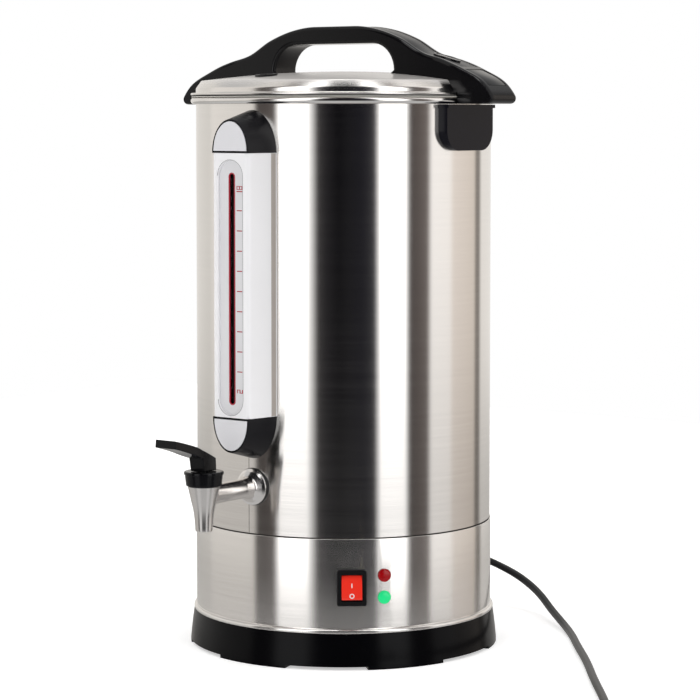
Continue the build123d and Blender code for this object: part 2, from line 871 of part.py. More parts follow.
glass_reach = scale_front - scale_wall - glass_gap - glass_radius
glass_bottom = fitting_low + fitting_bore + slip
glass_top = fitting_high - fitting_bore - slip
with BuildPart() as gauge_tube:
    with BuildSketch(Plane.XY.offset(glass_bottom)):
        with Locations((0, -glass_reach)):
            Circle(glass_radius)
            Circle(glass_radius - glass_wall, mode=Mode.SUBTRACT)
    extrude(amount=glass_top - glass_bottom)
finish(gauge_tube.part, "gauge_tube")

fitting_inner = tank_inside - washer_wall - gauge_nut_height - thread_end
with BuildPart() as gauge_fittings:
    for height, way in ((fitting_low, 1), (fitting_high, -1)):
        socket_plane = Plane(origin=(0, -glass_reach, height), x_dir=(1, 0, 0), z_dir=(0, 0, way))
        with BuildSketch(Plane.XZ.offset(fitting_inner)):
            with Locations((0, height)):
                Circle(fitting_radius)
        extrude(amount=glass_reach - fitting_inner)
        with BuildSketch(socket_plane.offset(-socket_radius)):
            Circle(socket_radius)
        extrude(amount=socket_radius + socket_length)
        with BuildSketch(socket_plane.offset(fitting_bore)):
            Circle(glass_radius + slip)
        extrude(amount=socket_length, mode=Mode.SUBTRACT)
        with BuildSketch(socket_plane.offset(socket_length - seal_length)):
            Circle(seal_radius + slip)
        extrude(amount=seal_length, mode=Mode.SUBTRACT)
        with BuildSketch(socket_plane):
            Circle(fitting_bore)
        extrude(amount=2 * fitting_bore, mode=Mode.SUBTRACT)
        with BuildSketch(Plane.XZ.offset(fitting_inner)):
            with Locations((0, height)):
                Circle(barrel_bore)
        extrude(amount=glass_reach - fitting_inner, mode=Mode.SUBTRACT)
finish(gauge_fittings.part, "gauge_fittings")

with BuildPart() as gauge_seals:
    for height, way in ((fitting_low, 1), (fitting_high, -1)):
        socket_plane = Plane(origin=(0, -glass_reach, height), x_dir=(1, 0, 0), z_dir=(0, 0, way))
        with BuildSketch(socket_plane.offset(socket_length - seal_length + slip)):
            Circle(seal_radius)
            Circle(glass_radius + slip, mode=Mode.SUBTRACT)
        extrude(amount=seal_length - slip)
finish(gauge_seals.part, "gauge_seals")

# The washers are pressed hollow, to the tank's wall
with BuildPart() as gauge_washers:
    for height in (fitting_low, fitting_high):
        with BuildSketch(Plane.XZ.offset(tank_inside - washer_wall)):
            with Locations((0, height)):
                Circle(gauge_nut_radius)
                Circle(fitting_radius + slip, mode=Mode.SUBTRACT)
        extrude(amount=2 * washer_wall)
    with BuildSketch(Plane.XY.offset(tank_floor)):
        Circle(tank_inside - slip)
    extrude(amount=rim_height - tank_floor, mode=Mode.INTERSECT)
finish(gauge_washers.part, "gauge_washers")

with BuildPart() as gauge_nuts:
    for height in (fitting_low, fitting_high):
        with BuildSketch(Plane.XZ.offset(tank_inside - washer_wall - slip)):
            with Locations((0, height)):
                RegularPolygon(gauge_nut_radius, 6)
                Circle(fitting_radius + slip, mode=Mode.SUBTRACT)
        extrude(amount=-gauge_nut_height)
finish(gauge_nuts.part, "gauge_nuts")


def arch(half_width, joint, end):
    """Half an ellipse that stands on the panel's end, from the front."""
    with BuildSketch() as outline:
        with Locations((0, joint)):
            Ellipse(half_width, abs(end - joint))
        with Locations((0, joint)):
            Rectangle(
                2 * half_width,
                abs(end - joint),
                align=(Align.CENTER, Align.MIN if end > joint else Align.MAX),
                mode=Mode.INTERSECT,
            )
    return outline.sketch


def hood(wall, joint, end):
    """A cap's shape, drawn in by wall: it slopes from the vessel to its smaller front."""
    way = 1 if end > joint else -1
    with BuildPart() as shape:
        with BuildSketch(Plane.XZ.offset(cover_back - cover_wall)):
            add(arch(cover_back_width / 2 - wall, joint, end - way * wall))
        with BuildSketch(Plane.XZ.offset(cover_front - wall)):
            add(arch(cover_front_width / 2 - wall, joint, end - way * (cap_slope + wall)))
        loft()
    return shape.part


for name, joint, end in (("top", panel_top, cap_top), ("bottom", panel_bottom, cap_bottom)):
    way = 1 if end > joint else -1
    inlay_half_width = cover_front_width / 2 - inlay_margin
    inlay_start = joint + way * inlay_margin
    inlay_end = end - way * (cap_slope + inlay_margin)
    with BuildPart() as gauge_cap:
        add(hood(0, joint, end))
        add(hood(cover_wall, joint, end), mode=Mode.SUBTRACT)
        with BuildSketch(Plane.XY.offset(min(joint, end))):
            Circle(shell_radius + 2 * slip)
        extrude(amount=abs(end - joint), mode=Mode.SUBTRACT)
        with BuildSketch(Plane.XZ.offset(cover_front - inlay_depth)):
            add(arch(inlay_half_width + slip, inlay_start - way * slip, inlay_end + way * slip))
        extrude(amount=2 * inlay_depth, mode=Mode.SUBTRACT)
    finish(gauge_cap.part, f"gauge_{name}_cap")
    with BuildPart() as gauge_inlay:
        with BuildSketch(Plane.XZ.offset(cover_front - inlay_depth)):
            add(arch(inlay_half_width, inlay_start, inlay_end))
        extrude(amount=inlay_wall)
    finish(gauge_inlay.part, f"gauge_{name}_inlay")

# ================= Tap =================
seat_bottom = seat_height - seat_rise
gasket_back = shell_radius + slip
shank_inner = tank_inside - washer_wall - tap_nut_height - thread_end
tap_axis = Axis((0, -tap_reach, 0), (0, 0, 1))
tap_section = Plane(origin=(0, -tap_reach, 0), x_dir=(1, 0, 0), z_dir=(0, -1, 0))

with BuildPart() as tap_body:
    with BuildSketch(tap_section):
        with BuildLine():
            Polyline(
                (spout_waist_radius, spout_waist_height),
                (spout_top_radius, spout_top_height),
                (neck_outer_radius, spout_top_height),
                (neck_outer_radius, neck_top),
                (0, neck_top),
                (0, spout_bottom),
                (spout_radius, spout_bottom),
            )
            ThreePointArc(
                (spout_radius, spout_bottom),
                (
                    (spout_radius + spout_waist_radius) / 2 - spout_hollow,
                    (spout_bottom + spout_waist_height) / 2,
                ),
                (spout_waist_radius, spout_waist_height),
            )
        make_face()
    revolve(axis=tap_axis)
    # The shank with its flared flange, and its thread through the wall
    with BuildSketch(Plane.XZ.offset(shank_inner)):
        with Locations((0, tap_height)):
            Circle(shank_thread_radius)
    extrude(amount=gasket_front - shank_inner)
    with BuildSketch(Plane.XZ.offset(gasket_front)):
        with Locations((0, tap_height)):
            Circle(tap_flange_radius)
    extrude(amount=tap_flange_wall)
    with BuildSketch(Plane.XZ.offset(gasket_front + tap_flange_wall)):
        with Locations((0, tap_height)):
            Circle(tap_flange_radius - tap_flange_step)
    with BuildSketch(Plane.XZ.offset(gasket_front + tap_flange_wall + tap_cone_length)):
        with Locations((0, tap_height)):
            Circle(shank_radius)
    loft()
    with BuildSketch(Plane.XZ.offset(gasket_front + tap_flange_wall)):
        with Locations((0, tap_height)):
            Circle(shank_radius)
    extrude(amount=tap_reach - gasket_front - tap_flange_wall)
    # Water way: the shank's bore, the valve chamber, the seat and the spout
    with BuildSketch(tap_section):
        Polygon(
            (0, neck_top),
            (valve_bore, neck_top),
            (valve_bore, seat_height),
            (spout_bore, seat_bottom),
            (spout_bore, spout_bottom),
            (0, spout_bottom),
            align=None,
        )
    revolve(axis=tap_axis, mode=Mode.SUBTRACT)
    with BuildSketch(Plane.XZ.offset(shank_inner)):
        with Locations((0, tap_height)):
            Circle(shank_bore)
    extrude(amount=tap_reach - shank_inner, mode=Mode.SUBTRACT)
finish(tap_body.part, "tap_body")

with BuildPart() as tap_gasket:
    with BuildSketch(Plane.XZ.offset(gasket_back - 2 * washer_wall)):
        with Locations((0, tap_height)):
            Circle(gasket_radius)
            Circle(shank_thread_radius + slip, mode=Mode.SUBTRACT)
    extrude(amount=gasket_front - gasket_back + 2 * washer_wall - slip)
    with BuildSketch(Plane.XY.offset(seam_height)):
        Circle(gasket_back)
    extrude(amount=rim_height - seam_height, mode=Mode.SUBTRACT)
finish(tap_gasket.part, "tap_gasket")

with BuildPart() as tap_washer:
    with BuildSketch(Plane.XZ.offset(tank_inside - washer_wall)):
        with Locations((0, tap_height)):
            Circle(tap_nut_radius)
            Circle(shank_thread_radius + slip, mode=Mode.SUBTRACT)
    extrude(amount=2 * washer_wall)
    with BuildSketch(Plane.XY.offset(tank_floor)):
        Circle(tank_inside - slip)
    extrude(amount=rim_height - tank_floor, mode=Mode.INTERSECT)
finish(tap_washer.part, "tap_washer")

with BuildPart() as tap_nut:
    with BuildSketch(Plane.XZ.offset(tank_inside - washer_wall - slip)):
        with Locations((0, tap_height)):
            RegularPolygon(tap_nut_radius, 6)
            Circle(shank_thread_radius + slip, mode=Mode.SUBTRACT)
    extrude(amount=-tap_nut_height)
finish(tap_nut.part, "tap_nut")

bonnet_ceiling = bonnet_top - bonnet_wall
bonnet_floor = spout_top_height + slip
with BuildPart() as tap_bonnet:
    with BuildSketch(tap_section):
        Polygon(
            (neck_outer_radius + slip, bonnet_floor),
            (bonnet_bottom_radius, bonnet_floor),
            (bonnet_top_radius, bonnet_top - bonnet_edge[1]),
            (bonnet_top_radius - bonnet_edge[0], bonnet_top),
            (stem_radius + pivot_play, bonnet_top),
            (stem_radius + pivot_play, bonnet_ceiling),
            (neck_outer_radius + slip, bonnet_ceiling),
            align=None,
        )
    revolve(axis=tap_axis)
finish(tap_bonnet.part, "tap_bonnet")

cup_bottom = seat_bottom + slip
cup_top = seat_height + cup_height
with BuildPart() as tap_cup:
    with BuildSketch(tap_section):
        Polygon(
            (stem_radius + slip, cup_bottom + cup_floor),
            (0, cup_bottom + cup_floor),
            (0, cup_bottom),
            (spout_bore - slip, cup_bottom),
            (cup_radius, seat_height + cup_lip),
            (cup_radius, cup_top),
            (stem_radius + slip, cup_top),
            align=None,
        )
    revolve(axis=tap_axis)
finish(tap_cup.part, "tap_cup")

stem_bottom = cup_bottom + cup_floor + slip
with BuildPart() as tap_stem:
    with BuildSketch(Plane.XY.offset(stem_bottom)):
        with Locations((0, -tap_reach)):
            Circle(stem_radius)
    extrude(amount=pivot_height + stem_radius - stem_bottom)
    with BuildSketch(Plane.XY.offset(cup_top + slip)):
        with Locations((0, -tap_reach)):
            Circle(spring_radius + 2 * spring_wire)
    extrude(amount=collar_height)
    with BuildSketch(Plane.YZ):
        with Locations((-tap_reach, pivot_height)):
            Circle(pivot_radius + pivot_play)
    extrude(amount=2 * stem_radius, both=True, mode=Mode.SUBTRACT)
finish(tap_stem.part, "tap_stem")

spring_bottom = cup_top + slip + collar_height + spring_wire + slip
spring_top = bonnet_ceiling - spring_wire - slip
with BuildPart() as tap_spring:
    with BuildLine():
        coil_line = Helix(
            (spring_top - spring_bottom) / spring_turns,
            spring_top - spring_bottom,
            spring_radius,
            center=(0, -tap_reach, spring_bottom),
        )
    with BuildSketch(Plane(origin=coil_line @ 0, z_dir=coil_line % 0)):
        Circle(spring_wire)
    sweep(path=coil_line, is_frenet=True)
finish(tap_spring.part, "tap_spring")

hub_bottom = bonnet_top + lever_play
slot_half_width = stem_radius + lever_play
# The slot is as long as the stem's head and neck sweep when the lever turns
lever_sweep = math.radians(lever_turn)
stem_corner = stem_radius * (math.sin(lever_sweep) + math.cos(lever_sweep))
neck_sweep = (pivot_height - hub_bottom) * math.tan(lever_sweep) + stem_radius / math.cos(lever_sweep)
slot_front = neck_sweep + lever_play
slot_rear = stem_corner + lever_play
slot_roof = pivot_height + stem_corner + lever_play


def lever_point(reach_share, rise_share):
    return (-tap_reach - lever_tip * reach_share, pivot_height + lever_rise * rise_share)


arm_root = (-tap_reach - hub_front, pivot_height + hub_front_rise)
hub_rear_top = (-tap_reach + hub_rear, pivot_height + hub_rear_rise)
tip_upper = lever_point(1, 1)
tip_lower = (tip_upper[0] - hub_draft, tip_upper[1] - lever_wall)
with BuildPart() as tap_lever:
    # Seen from the side, with y towards the vessel
    with BuildSketch(Plane.YZ):
        with BuildLine():
            Polyline(
                arm_root,
                (arm_root[0] + hub_draft, hub_bottom),
                (hub_rear_top[0] + hub_draft, hub_bottom),
                hub_rear_top,
            )
            Spline(hub_rear_top, *[lever_point(*share) for share in lever_upper], tip_upper)
            Line(tip_upper, tip_lower)
            Spline(tip_lower, *[lever_point(*share) for share in lever_lower], arm_root)
        make_face()
    extrude(amount=lever_half_width, both=True)
    # The paddle narrows to the hub
    for side in (1, -1):
        with BuildSketch(Plane.XY.offset(bonnet_top)):
            Polygon(
                (side * hub_half_width, -tap_reach + 2 * hub_rear),
                (side * hub_half_width, -tap_reach - hub_front),
                (side * lever_half_width, -tap_reach - lever_waist),
                (side * 2 * lever_half_width, -tap_reach - lever_waist),
                (side * 2 * lever_half_width, -tap_reach + 2 * hub_rear),
                align=None,
            )
        extrude(amount=lever_tip, mode=Mode.SUBTRACT)
    # The slot for the stem's head
    with BuildSketch(Plane.XY.offset(bonnet_top)):
        with Locations((0, -tap_reach + (slot_rear - slot_front) / 2)):
            Rectangle(2 * slot_half_width, slot_front + slot_rear)
    extrude(amount=slot_roof - bonnet_top, mode=Mode.SUBTRACT)
    with BuildSketch(Plane.YZ):
        with Locations((-tap_reach, pivot_height)):
            Circle(pivot_radius + slip)
    extrude(amount=lever_half_width, both=True, mode=Mode.SUBTRACT)
finish(tap_lever.part, "tap_lever")

with BuildPart() as tap_pin:
    with BuildSketch(Plane.YZ):
        with Locations((-tap_reach, pivot_height)):
            Circle(pivot_radius)
    extrude(amount=hub_half_width - slip, both=True)
finish(tap_pin.part, "tap_pin")

# ================= Side brackets =================
bracket_back = math.sqrt(shell_radius**2 - bracket_half_width**2) - bracket_lip
screw_head_front = math.sqrt(
    (shell_radius - shell_wall) ** 2 - (bracket_screw_spread / 2 + bracket_head_radius) ** 2
)
for name, side in (("right_bracket", 90), ("left_bracket", -90)):
    back_plane = wall_plane(side, 0, bracket_back)
    with BuildPart() as bracket:
        with BuildSketch(back_plane) as shield:
            with Locations((0, bracket_top)):
                Rectangle(
                    2 * bracket_half_width,
                    bracket_top - bracket_bottom,
                    align=(Align.CENTER, Align.MAX),
                )
            fillet(shield.vertices().group_by(Axis.Y)[0], bracket_corner)
        extrude(amount=bracket_front - bracket_back)
        with BuildSketch(back_plane):
            with Locations((0, bracket_top)):
                Rectangle(
                    2 * bracket_half_width + bracket_lip_proud,
                    bracket_lip,
                    align=(Align.CENTER, Align.MAX),
                )
        extrude(amount=bracket_front + bracket_lip_proud - bracket_back)
        with BuildSketch(Plane.XY.offset(bracket_bottom)):
            Circle(shell_radius + slip)
        extrude(amount=bracket_top - bracket_bottom, mode=Mode.SUBTRACT)
        with BuildSketch(wall_plane(side, bracket_screw_height, bracket_back)):
            with GridLocations(bracket_screw_spread, 0, 2, 1):
                Circle(bracket_screw_radius + slip)
        extrude(amount=shell_radius + bracket_screw_depth - bracket_back, mode=Mode.SUBTRACT)
    finish(bracket.part, name)

with BuildPart() as bracket_screws:
    for side in (90, -90):
        head_plane = wall_plane(side, bracket_screw_height, screw_head_front - slip)
        with BuildSketch(head_plane):
            with GridLocations(bracket_screw_spread, 0, 2, 1):
                Circle(bracket_head_radius)
        extrude(amount=-screw_head_height)
        with BuildSketch(head_plane):
            with GridLocations(bracket_screw_spread, 0, 2, 1):
                Circle(bracket_screw_radius)
        extrude(amount=shell_radius + bracket_screw_depth - screw_head_front - 2 * slip)
finish(bracket_screws.part, "bracket_screws")

# ================= Lid =================
dome_sphere = (dome_edge_radius**2 + dome_rise**2) / (2 * dome_rise)
dome_half = dome_edge_radius / 2
dome_half_height = dome_height - dome_drop(dome_sphere, dome_half)
dome_edge = dome_height - dome_rise
lid_inside = lid_radius - lid_wall


def dome_at(distance):
    """Height of the lid's top at that distance from its axis."""
    return dome_height - dome_drop(dome_sphere, distance)


vent_distance = math.hypot(*vent_place)
vent_plane = Plane(
    origin=(vent_place[0], vent_place[1], dome_at(vent_distance)),
    z_dir=(vent_place[0], vent_place[1], math.sqrt(dome_sphere**2 - vent_distance**2)),
)

with BuildPart() as lid_shell:
    with BuildSketch(Plane.XZ):
        with BuildLine():
            ThreePointArc((0, dome_height), (dome_half, dome_half_height), (dome_edge_radius, dome_edge))
            Polyline(
                (dome_edge_radius, dome_edge),
                (lid_radius, lid_shoulder),
                (lid_radius, lid_height + lid_edge),
                (rim_radius, lid_height + lid_edge),
                (rim_radius, lid_height),
                (lid_inside, lid_height),
                (lid_inside, lid_shoulder - lid_wall / 2),
                (dome_edge_radius, dome_edge - lid_wall),
            )
            ThreePointArc(
                (dome_edge_radius, dome_edge - lid_wall),
                (dome_half, dome_half_height - lid_wall),
                (0, dome_height - lid_wall),
            )
            Line((0, dome_height - lid_wall), (0, dome_height))
        make_face()
    revolve(axis=Axis.Z)
    with BuildSketch(vent_plane):
        Circle(vent_hole)
    extrude(amount=4 * lid_wall, both=True, mode=Mode.SUBTRACT)
    with BuildSketch(Plane.XY.offset(dome_edge)):
        with Locations(*[(x, 0) for x in handle_screw_places]):
            Circle(handle_screw_radius + screw_play)
    extrude(amount=dome_rise, both=True, mode=Mode.SUBTRACT)
finish(lid_shell.part, "lid_shell")

with BuildPart() as lid_vent:
    with BuildSketch(vent_plane.offset(slip)):
        Circle(vent_radius_out)
        Circle(vent_radius_in, mode=Mode.SUBTRACT)
    extrude(amount=vent_flange)
    with BuildSketch(vent_plane.offset(slip)):
        Circle(vent_hole - slip)
        Circle(vent_radius_in, mode=Mode.SUBTRACT)
    extrude(amount=-4 * lid_wall)
finish(lid_vent.part, "lid_vent")

seal_bottom = rim_height + seal_gap
seal_top = lid_height - seal_gap
with BuildPart() as lid_gasket:
    with BuildSketch(Plane.XZ):
        Polygon(
            (seal_ring_inner, seal_top),
            (seal_ring_inner, rim_height - seal_skirt_depth),
            (seal_ring_inner + seal_skirt_wall, rim_height - seal_skirt_depth),
            (seal_ring_inner + seal_skirt_wall, seal_bottom),
            (rim_radius - lid_wall, seal_bottom),
            (rim_radius - lid_wall, seal_top),
            align=None,
        )
    revolve(axis=Axis.Z)
finish(lid_gasket.part, "lid_gasket")


def under_handle(drop):
    """The handle from the side: all that lies under its top line, lowered by drop."""
    curve = (handle_shoulder, handle_knee, handle_hip, wing_root, wing_crest, wing_edge, wing_tip)
    with BuildSketch() as side_view:
        with BuildLine():
            Line((0, handle_top - drop), (handle_flat, handle_top - drop))
            Spline(
                (handle_flat, handle_top - drop),
                *[(x, z - drop) for x, z in curve],
                tangents=[(1, 0), (0.3, -1)],
            )
            Polyline(
                (wing_tip[0], wing_tip[1] - drop),
                (wing_tip[0], wing_bottom - drop),
                (0, wing_bottom - drop),
            )
            mirror(about=Plane.YZ)
        make_face()
    return side_view.sketch


def top_band(start, end, width, upper, lower):
    """A sheet under the handle's top line, between two depths, on both sides of the middle."""
    with BuildPart() as band:
        with BuildSketch(Plane.XZ):
            add(under_handle(upper))
        extrude(amount=width / 2, both=True)
        with BuildSketch(Plane.XZ):
            add(under_handle(lower))
        extrude(amount=width, both=True, mode=Mode.SUBTRACT)
        with BuildSketch(Plane.XY.offset(wing_bottom - lower)):
            for side in (1, -1):
                with Locations((side * (start + end) / 2, 0)):
                    Rectangle(end - start, 2 * width)
        extrude(amount=handle_top, mode=Mode.INTERSECT)
    return band.part


with BuildPart() as lid_handle:
    with BuildSketch(Plane.XZ):
        add(under_handle(0))
    extrude(amount=handle_width / 2, both=True)
    # The wings are a little wider than the arch
    with BuildSketch(Plane.XZ):
        add(under_handle(0))
        Rectangle(2 * wing_start, 3 * handle_top, mode=Mode.SUBTRACT)
    extrude(amount=wing_width / 2, both=True)
    # Room for the lid and for the rolled rim under it
    with BuildSketch(Plane.XZ):
        with BuildLine():
            top = dome_height + lid_clearance
            ThreePointArc(
                (0, top),
                (dome_half, dome_half_height + lid_clearance),
                (dome_edge_radius, dome_edge + lid_clearance),
            )
            Polyline(
                (dome_edge_radius, dome_edge + lid_clearance),
                (lid_radius + lid_clearance, lid_shoulder + lid_clearance),
                (lid_radius + lid_clearance, lid_height + lid_edge + lid_clearance),
                (rim_radius + rim_clearance, lid_height + lid_edge + lid_clearance),
                (rim_radius + rim_clearance, wing_bottom - rim_bead),
                (0, wing_bottom - rim_bead),
                (0, top),
            )
        make_face()
    revolve(axis=Axis.Z, mode=Mode.SUBTRACT)
    # The finger opening
    with BuildSketch(Plane.XZ):
        with Locations((0, finger_top)):
            RectangleRounded(
                2 * finger_half_length,
                3 * (finger_top - dome_height),
                finger_round,
                align=(Align.CENTER, Align.MAX),
            )
    extrude(amount=handle_width, both=True, mode=Mode.SUBTRACT)
    # The wings are hollow
    with BuildSketch(Plane.XZ):
        add(under_handle(wing_roof))
        Rectangle(2 * (wing_start + wing_wall), 3 * handle_top, mode=Mode.SUBTRACT)
        for side in (1, -1):
            with Locations((side * (wing_tip[0] - wing_wall + handle_width / 2), wing_tip[1])):
                Rectangle(handle_width, 2 * handle_width, mode=Mode.SUBTRACT)
    extrude(amount=wing_width / 2 - wing_wall, both=True, mode=Mode.SUBTRACT)
    add(
        top_band(-strip_half_length, strip_half_length, strip_width + 4 * slip, -1, strip_depth),
        mode=Mode.SUBTRACT,
    )
    add(
        top_band(panel_start, panel_end, panel_width + 4 * slip, -1, strip_depth),
        mode=Mode.SUBTRACT,
    )
    for x in handle_screw_places:
        with BuildSketch(Plane.XY.offset(dome_at(abs(x)) - lid_wall)):
            with Locations((x, 0)):
                Circle(handle_screw_radius + slip)
        extrude(amount=handle_screw_length + lid_wall + 2 * slip, mode=Mode.SUBTRACT)
finish(lid_handle.part, "lid_handle")

strip_top = strip_depth - slip - strip_wall
strip_floor = strip_depth - slip
strip_end = strip_half_length - 2 * slip
with BuildPart() as handle_strip:
    add(top_band(-strip_end, strip_end, strip_width, strip_top, strip_floor))
finish(handle_strip.part, "handle_strip")

with BuildPart() as handle_panels:
    add(top_band(panel_start + 2 * slip, panel_end - 2 * slip, panel_width, strip_top, strip_floor))
finish(handle_panels.part, "handle_panels")

with BuildPart() as handle_screws:
    for x in handle_screw_places:
        seat = dome_at(abs(x) + handle_head_radius) - lid_wall - slip
        with BuildSketch(Plane.XY.offset(seat)):
            with Locations((x, 0)):
                Circle(handle_head_radius)
        extrude(amount=-screw_head_height)
        with BuildSketch(Plane.XY.offset(seat)):
            with Locations((x, 0)):
                Circle(handle_screw_radius)
        extrude(amount=dome_at(abs(x)) + handle_screw_length - seat)
finish(handle_screws.part, "handle_screws")

# ================= Power cord =================
with BuildPart() as cord_gland:
    with BuildSketch(gland_plane.offset(slip)):
        Circle(gland_radius)
    extrude(amount=gland_wall)
    with BuildSketch(gland_plane.offset(slip)):
        Circle(gland_body_radius)
    extrude(amount=-gland_body_length)
    with BuildSketch(gland_plane.offset(gland_wall)):
        Circle(gland_tail_radius + gland_step[0])
    with BuildSketch(gland_plane.offset(gland_wall + gland_tail)):
        Circle(gland_tail_radius - gland_step[1])
    loft()
finish(cord_gland.part, "cord_gland")


def rope(points, diameter):
    """A round cord along straight runs joined by arcs as large as the runs allow."""
    corners = [Vector(*point) for point in points]
    radii = []
    for before, corner, after in zip(corners, corners[1:], corners[2:]):
        turn = (corner - before).get_angle(after - corner)
        shorter = min((corner - before).length, (after - corner).length)
        radii.append(arc_share * shorter / math.tan(math.radians(turn / 2)))
    with BuildPart() as cord:
        with BuildLine() as path:
            FilletPolyline(*points, radius=radii)
        run = path.wires()[0]
        with BuildSketch(Plane(origin=run @ 0, z_dir=run % 0)):
            Circle(diameter / 2)
        sweep(path=run)
    share = cord.part.volume / (math.pi * (diameter / 2) ** 2 * run.length)
    print(f"cord of {diameter}: length {run.length:.0f}, volume over section times length {share:.4f}")
    print("  radii", [round(radius) for radius in radii])
    return cord.part


# A neat coil of two layers of two turns lies beyond the run that crosses the floor
gland_end = lower_radius + gland_wall + gland_tail
coil_half = cord_diameter + coil_turn_gap / 2
turn_radius = coil_radius + coil_half / 2
enter = math.radians(coil_enter_angle)
leave = math.radians(coil_leave_angle)
enter_point = (
    coil_center[0] + turn_radius * math.cos(enter),
    coil_center[1] + turn_radius * math.sin(enter),
    cord_rest,
)
leave_point = (
    coil_center[0] + turn_radius * math.cos(leave),
    coil_center[1] + turn_radius * math.sin(leave),
    cord_rest + coil_half,
)
# The turns run clockwise from above, so a cord leaves along this way
leave_way = Vector(math.sin(leave), -math.cos(leave), 0)
plug_start = Vector(*leave_point) + leave_way * tail_length
plug_start = Vector(plug_start.X, plug_start.Y, plug_radius)

with BuildPart() as power_cord:
    add(rope([(0, gland_end, gland_height), *cord_route, enter_point], cord_diameter))
    tail_mid = [Vector(*leave_point) + leave_way * share * tail_length for share in tail_shares]
    add(
        rope(
            [
                leave_point,
                (tail_mid[0].X, tail_mid[0].Y, leave_point[2]),
                (tail_mid[1].X, tail_mid[1].Y, plug_radius),
                (plug_start.X, plug_start.Y, plug_radius),
            ],
            cord_diameter,
        )
    )
finish(power_cord.part, "power_cord")

coil_section = Plane(origin=(*coil_center, 0), x_dir=(1, 0, 0), z_dir=(0, -1, 0))
with BuildPart() as cord_coil:
    with BuildSketch(coil_section):
        with Locations((coil_radius, coil_half)):
            RectangleRounded(2 * coil_half, 2 * coil_half, cord_diameter / 2.2)
    revolve(axis=Axis(coil_section.origin, (0, 0, 1)))
finish(cord_coil.part, "cord_coil")

plug_plane = Plane(origin=plug_start, z_dir=leave_way, x_dir=(0, 0, 1))
with BuildPart() as plug_body:
    with BuildSketch(plug_plane):
        Circle(plug_neck_radius)
        Circle(cord_diameter / 2 + slip, mode=Mode.SUBTRACT)
    extrude(amount=plug_neck_length / 2)
    with BuildSketch(plug_plane.offset(plug_neck_length / 2)):
        Circle(plug_neck_radius)
    with BuildSketch(plug_plane.offset(plug_neck_length)):
        Circle(plug_radius)
    loft()
    with BuildSketch(plug_plane.offset(plug_neck_length)):
        Circle(plug_radius)
    extrude(amount=plug_length - plug_neck_length / 2)
    with BuildSketch(plug_plane.offset(plug_neck_length / 2 + plug_length)):
        with GridLocations(0, plug_pin_spread, 1, 2):
            Circle(plug_pin_radius)
    extrude(amount=-plug_pin_length / 3, mode=Mode.SUBTRACT)
finish(plug_body.part, "plug_body")

with BuildPart() as plug_pins:
    with BuildSketch(plug_plane.offset(plug_neck_length / 2 + plug_length)):
        with GridLocations(0, plug_pin_spread, 1, 2):
            Circle(plug_pin_radius)
    extrude(amount=-plug_pin_length / 3)
    with BuildSketch(plug_plane.offset(plug_neck_length / 2 + plug_length)):
        with GridLocations(0, plug_pin_spread, 1, 2):
            Circle(plug_pin_radius)
    extrude(amount=plug_pin_length)
finish(plug_pins.part, "plug_pins")

# ================= Wiring in the base =================
pin_turns = [math.radians(angle) for angle in (pin_start, 180 - pin_start)]
pins = [(ring_radius * math.cos(turn), ring_radius * math.sin(turn)) for turn in pin_turns]
pin_end = ring_bottom - pin_length
blade_end = blade_top - blade_length
block_middle = plate_top + block_size[2] / 2
block_front = block_place[1] - block_size[1] / 2
block_rear = block_place[1] + block_size[1] / 2
blade_x = thermostat_radius / 2
tab_x, tab_y = switch_body_width / 4, switch_body_length / 4
tab_end = slip - switch_body_depth - blade_length


def at_switch(x, y, depth):
    return switch_plane.from_local_coords((x, y, tab_end - depth))


def at_lamp(name, depth):
    return lamp_planes[name].from_local_coords((0, 0, -holder_length - depth))


core_routes = [
    [
        (block_place[0] - 5, block_front, block_middle),
        (block_place[0] - 5, block_front - wire_rise, block_middle),
        (-20, -20, 30),
        at_switch(-tab_x, -tab_y, 26),
        at_switch(-tab_x, -tab_y, 0),
    ],
    [
        at_switch(-tab_x, tab_y, 0),
        at_switch(-tab_x, tab_y, 18),
        (-blade_x, -thermostat_offset, blade_end - wire_rise),
        (-blade_x, -thermostat_offset, blade_end),
    ],
    [
        (blade_x, -thermostat_offset, blade_end),
        (blade_x, -thermostat_offset, blade_end - wire_rise),
        (2 * blade_x, 0, blade_end - 1.6 * wire_rise),
        (blade_x, thermostat_offset, blade_end - wire_rise),
        (blade_x, thermostat_offset, blade_end),
    ],
    [
        (-blade_x, thermostat_offset, blade_end),
        (-blade_x, thermostat_offset, blade_end - wire_rise),
        (pins[0][0], pins[0][1], blade_end - wire_rise),
        (pins[0][0], pins[0][1], pin_end),
    ],
    [
        (block_place[0] + 8, block_front, block_middle),
        (block_place[0] + 8, block_front - wire_rise, block_middle),
        (0, 20, 50),
        (pins[1][0], pins[1][1], pin_end - 1.6 * wire_rise),
        (pins[1][0], pins[1][1], pin_end),
    ],
    [at_lamp("red", 0), at_lamp("red", 12), at_switch(tab_x, tab_y, 18), at_switch(tab_x, tab_y, 0)],
    [at_lamp("green", 0), at_lamp("green", 12), at_switch(tab_x, -tab_y, 18), at_switch(tab_x, -tab_y, 0)],
]
mains_route = [
    (0, lower_radius + slip - gland_body_length, gland_height),
    (0, 104, gland_height),
    (-15, 86, 40),
    (block_place[0], 72, block_middle + 4),
    (block_place[0], block_rear + wire_rise, block_middle),
    (block_place[0], block_rear, block_middle),
]
with BuildPart() as wiring:
    for route in core_routes:
        add(rope(route, core_diameter))
    add(rope(mains_route, cord_diameter))
finish(wiring.part, "wiring")
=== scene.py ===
import math

